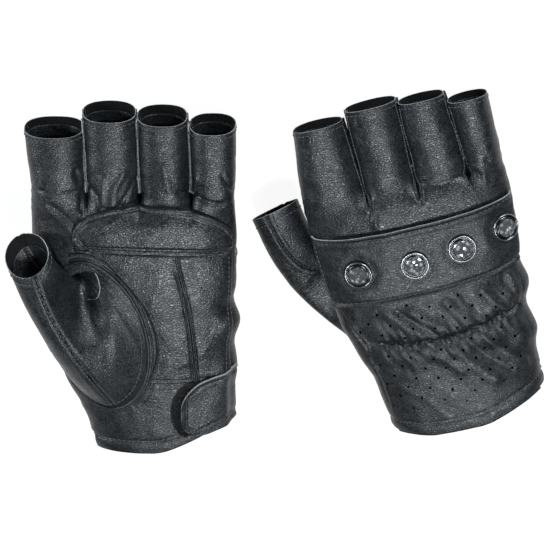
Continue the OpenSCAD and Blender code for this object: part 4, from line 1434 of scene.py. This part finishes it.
def hook_patch(g):
    """The hooked half of the fastener, under the strap."""
    x0, x1 = STRAP_REACH + 3, 40.0
    v, x = grid(np.linspace(-0.38, 0.38, 20), np.linspace(x0, x1, 24))
    y = strap_mid(x) + v * STRAP_W
    p, n = surface(g, PALM, x, y, STRAP_LIFT + LEATHER - 0.35)
    base = shell("base", g, p, p - n * 0.7, [ELASTIC, ELASTIC, ELASTIC], bevel=0)
    hx, hv = np.meshgrid(np.arange(x0 + 0.7, x1, 1.25), np.arange(-0.36, 0.37, 0.05))
    hx, hv = hx.ravel(), hv.ravel()
    points, faces = tufts(g, hx, strap_mid(hx) + hv * STRAP_W, STRAP_LIFT + LEATHER - 0.95, -0.5, 13 + g)
    return join("hook_patch_tape", g, [base, make_mesh("hooks", g, points, faces, [ELASTIC], None, False)])


# ---------------------------------------------------------------- thumb

# Corners of the gusset on the thumb, as (v, direction): its two upper ones and its tip
GUSSET = (((0.50, 0), (0.06, 70), (0.40, 17)), ((0.14, -41), (0.14, -9), (0.46, -25)))


def thumb_skin(g, start, name):
    """Half of the thumb stall, from one seam to the other."""
    v, turn = grid(np.linspace(0, 1, 64), np.linspace(0, 180, 110))
    p, n = thumb_surface(g, v, start + turn, 0)
    thick = LEATHER - PARED * smooth((v[..., None] - 0.88) / 0.12)
    return shell(f"{name}_leather", g, p, p - n * thick, SKIN_SET)


def thumb_hem(g):
    """The hem turned into the thumb stall."""
    v, direction = grid(np.linspace(0.8, 0.92, 8), np.arange(0, 360, 4.0))
    p, n = thumb_surface(g, v, direction, 0)
    p = p - n * (LEATHER + 0.05)
    return shell("thumb_hem_leather", g, p, p - n * 0.5, [BLACK, BLACK, BLACK], ring=True)


def thumb_gusset(g):
    """The soft three-cornered patch at the base of the thumb."""
    i, s = grid(np.linspace(0, 1, 24), np.linspace(-1, 1, 20))
    first, second, tip = (np.array(c) for c in GUSSET[g])
    top = lerp(first, second, (s[..., None] + 1) / 2)
    at = lerp(top, tip, 0.97 * i[..., None])
    p, n = thumb_surface(g, at[..., 0], at[..., 1], 0)
    p = p + n * 1.1
    return shell("thumb_gusset_leather", g, p, p - n * 1.0, [SOFT, LIT_CUT_EDGE, FLESH_AND_HOLE_SHADE])


# Rows beside the base of the thumb: distance from its opening, from and to which direction
WELT_ROWS = (((3.4, -70, 100), (6.2, -60, 98)), ((3.4, -70, 70),))
WELT = [(0.95 * math.cos(a), 0.95 * math.sin(a)) for a in np.linspace(0, 2 * math.pi, 11)[:-1]]
# Profile of a seam's two turned-out lips, and the slots that give their crests a lighter leather as a painted
# highlight
LIPS = ((-1.15, -0.3), (-1.05, 1.2), (-0.1, 1.5), (0.0, 0.7), (0.1, 1.5), (1.05, 1.2), (1.15, -0.3))
LIP_CREST_LIT_SLOTS = [0, 1, 0, 0, 1, 0, 0]


def thumb_seams(g):
    """The welt round the base of the thumb and one or two finer ones beside it on the palm."""
    around = np.linspace(0, 360, 181)[:-1]
    p, n = thumb_surface(g, np.full(180, 0.012), around, 0.4)
    pieces = [sweep("welt", g, p, n, WELT, [BLACK, LIT_CUT_EDGE], closed=True)]
    for grow, low, high in WELT_ROWS[g]:
        x, y = hole_point(g, np.linspace(low, high, 90), grow)
        p, n = surface(g, PALM, x, y, 0.1)
        pieces.append(sweep("row", g, p, n, [(0.6 * u, 0.6 * w) for u, w in WELT], [BLACK, LIT_CUT_EDGE]))
    return join("thumb_seam_leather", g, pieces)


def thumb_seam_path(g, turn):
    """A line along the thumb, turned by some degrees from its front seam."""
    v = np.linspace(0.04, 0.985, 200)
    return v, lerp(THUMB_SEAM_AT[0], THUMB_SEAM_AT[1], v) + turn


def thumb_stitches(g):
    """Thread round the thumb's base and rim, beside its opening and along its seams."""
    around = np.linspace(0, 360, 400)
    paths = [thumb_surface(g, np.full(400, s), around, 0.05) for s in (0.055, 0.955)]
    x, y = hole_point(g, np.linspace(-60, 100, 260), 5.0)
    paths.append(surface(g, PALM, x, y, 0.05))
    for turn in (-3, 3, 180):
        paths.append(thumb_surface(g, *thumb_seam_path(g, turn), 0.05))
    return stitches("thumb_thread", g, paths, radius=0.26)


# ---------------------------------------------------------------- seams of the fingers and the edges

CROTCH_SEAM = (3.0, 11.0)


def crotch_x(g, k):
    """Middle of the crotch between stall k and the next."""
    (m, w, _), (after, far, _) = stall_shape(g, k, 0.0), stall_shape(g, k + 1, 0.0)
    return (m + w * EDGE + after - far * EDGE) / 2


def finger_seams(g):
    """Seams turned outwards along both sides of each stall, down to the crotches."""
    pieces = []
    row = np.linspace(0.02, 0.975, 60)
    for k in range(4):
        inner = [EDGE_DIR, -EDGE_DIR] * (k < 3) + [180 - EDGE_DIR, EDGE_DIR - 180] * (k > 0)
        for direction in inner:
            p, n = stall_surface(g, k, np.full(60, direction), row, 0)
            hand = 1 if abs(direction) < 90 else -1
            side = PALM if direction > 0 else BACK
            if side == BACK:
                t = np.linspace(0, 0.85, 8)
                x = lerp(crotch_x(g, k if hand > 0 else k - 1) - 0.8 * hand, p[0, 0], t)
                q, m = surface(g, side, x, lerp(min(-CROTCH_SEAM[g], p[0, 1] - 1.5), p[0, 1], t), 0)
                q = q - m * (0.9 * (1 - t) ** 2)[:, None]
                p, n = np.concatenate([q, p]), np.concatenate([m, n])
            # The lip crests take a lighter leather, the cut edge on the palm and the soft leather on the
            # back: painted highlight
            edge = LIT_CUT_EDGE if side == PALM else SOFT
            low_lips = [(0.8 * u, (1.0 if side == PALM else 0.6) * w) for u, w in LIPS]
            pieces.append(sweep("seam", g, p, n, low_lips, [BLACK, edge], LIP_CREST_LIT_SLOTS))
    return join("finger_seam_leather", g, pieces)


# ---------------------------------------------------------------- the two gloves

def thumb_blend(piece):
    """Bakes the piece's placement into its mesh."""
    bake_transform(piece)


def strap_blend(piece, g):
    """Bakes the piece's placement into its mesh; the strap's root and bend points worked out here are not
    used.
    """
    start, end = (np.array(to_world(g, strap_face(g, t, 0)[0])) for t in (1.0, STRAP_BEND[g]))
    end[1] = start[1]
    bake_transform(piece)


# Side panels: name, 1 by the little finger or -1 by the thumb, from and to which y, whether a stall's side
SIDE_PANELS = (
    ("index_side_strip", -1, -32, 0, True),
    ("radial_side_panel", -1, -134, -32, False),
    ("ulnar_side_panel", 1, -128, 0, True),
)
# Names of the fourchettes between neighbouring stalls
FOURCHETTES = ("fourchette_index_middle", "fourchette_middle_ring", "fourchette_ring_little")


def stand_for(g, node):
    """Hides the CAD node that the piece takes the place of."""
    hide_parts(f"{SIDES[g]}_{node}")


def build_hand(g):
    """Everything that is sewn or riveted to the hand of the glove."""
    pieces = [
        (trank(g, PALM), "palm_trank", "leather"),
        (trank(g, BACK), "back_trank", "leather"),
        (cuff(g, PALM), "palm_cuff", "leather"),
        (cuff(g, BACK), "back_cuff_panel", "perforated_leather"),
        *((edge_strip(g, *sizes, name), name, "leather") for name, *sizes in SIDE_PANELS),
        *((fourchettes(g, k, name), name, "leather") for k, name in enumerate(FOURCHETTES)),
        (stall_hems(g), "finger_hems", "leather_edge"),
        (palm_pad(g), "palm_pad_upper", "leather"),
        (pad_foam(g), "upper_pad_foam", "foam"),
        (heel_patch(g, True), "heel_patch_inner", "leather"),
        (heel_patch(g, False), "heel_patch_outer", "leather"),
        (knuckle_band(g), "knuckle_band", "leather"),
        (stud_setting(g), "stud_settings", "stud_metal"),
        (stud_crystal(g), "stud_crystals", "crystal"),
        (stud_washer(g), "stud_washers", "stud_metal"),
        (wrist_hem(g), "wrist_hem", "leather_edge"),
        (wrist_elastic(g), "wrist_elastic", "elastic"),
        (loop_patch(g), "loop_patch", "loop_textile"),
    ]
    for piece, node, slot in pieces:
        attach(piece, f"{SIDES[g]}_glove")
        stand_for(g, node)
    for piece in (pad_stitches(g), heel_stitches(g), band_stitches(g), hem_stitches(g), finger_seams(g)):
        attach(piece, f"{SIDES[g]}_glove")


def build_strap(g):
    """The strap, its thread and the hooks under it."""
    cover, hooks = strap(g), hook_patch(g)
    strap_blend(cover, g)
    strap_blend(strap_stitches(g), g)
    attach(hooks, f"{SIDES[g]}_strap")
    stand_for(g, "strap")
    stand_for(g, "hook_patch")


def build_thumb(g):
    """The thumb stall with its seams and thread."""
    pieces = [
        (thumb_skin(g, THUMB_SEAM, "thumb_front_panel"), "thumb_front_panel", "leather"),
        (thumb_skin(g, THUMB_SEAM - 180, "thumb_back_panel"), "thumb_back_panel", "leather"),
        (thumb_hem(g), "thumb_hem", "leather_edge"),
        (thumb_gusset(g), "thumb_gusset", "leather"),
    ]
    for piece, node, slot in pieces:
        thumb_blend(piece)
        stand_for(g, node)
    for piece in (thumb_seams(g), thumb_stitches(g)):
        thumb_blend(piece)


for glove in (LEFT, RIGHT):
    build_hand(glove)
    build_strap(glove)
    build_thumb(glove)


# ---------------------------------------------------------------- camera, light and floor

# The camera: its angle towards the fingertips, what it looks at, how wide the picture is there, how far away
TILT = math.radians(25)
TARGET = Vector((-3.14, -2.07, 19.9)) * MM
FRAME_WIDTH = 275 * MM
FAR = 1.9
FLOOR_HALF, FLOOR_Z = 4, -0.0005
LAMP_COLOR = (0.9, 0.965, 1.0)

camera_data = bpy.data.cameras.new("camera")
camera_data.sensor_width = 36
camera_data.lens = 36 * FAR / FRAME_WIDTH
camera_data.clip_end = 20
camera = add_object("camera", camera_data)
camera.location = TARGET + Vector((0, math.sin(TILT), math.cos(TILT))) * FAR
camera.rotation_euler = (-TILT, 0, 0)
bpy.context.scene.camera = camera


def softbox(name, place, size, power):
    """A square lamp that faces the gloves."""
    data = bpy.data.lights.new(name, "AREA")
    data.shape = "RECTANGLE"
    data.size, data.size_y = size
    data.energy = power
    data.color = LAMP_COLOR
    lamp = add_object(name, data)
    lamp.location = place
    lamp.rotation_euler = (TARGET - Vector(place)).to_track_quat("-Z", "Y").to_euler()
    return lamp


floor_material, _, floor_shader = new_material("white_floor", (0.12, 0.12, 0.12), 0.9, specular=0.0)
floor_shader.inputs["Emission Color"].default_value = (1, 1, 1, 1)
floor_shader.inputs["Emission Strength"].default_value = 0.93
floor_mesh = bpy.data.meshes.new("floor")
floor_corners = [(x * FLOOR_HALF, y * FLOOR_HALF, 0) for x, y in ((-1, -1), (1, -1), (1, 1), (-1, 1))]
floor_mesh.from_pydata(floor_corners, [], [(0, 1, 2, 3)])
floor_mesh.materials.append(floor_material)
floor = add_object("floor", floor_mesh)
floor.location.z = FLOOR_Z

world = bpy.data.worlds.new("white_room")
world.use_nodes = True
background = world.node_tree.nodes["Background"]
background.inputs["Color"].default_value = (1, 1, 1, 1)
background.inputs["Strength"].default_value = 0.1
bpy.context.scene.world = world
bpy.context.scene.view_settings.view_transform = "Standard"

softbox("key_box", (0.15, -0.36, 1.1), (0.36, 0.28), 13)
softbox("back_box", (0.5, 0.9, 0.5), (0.5, 0.2), 12)
softbox("side_box", (-1.0, 0.2, 0.5), (0.2, 0.5), 10)
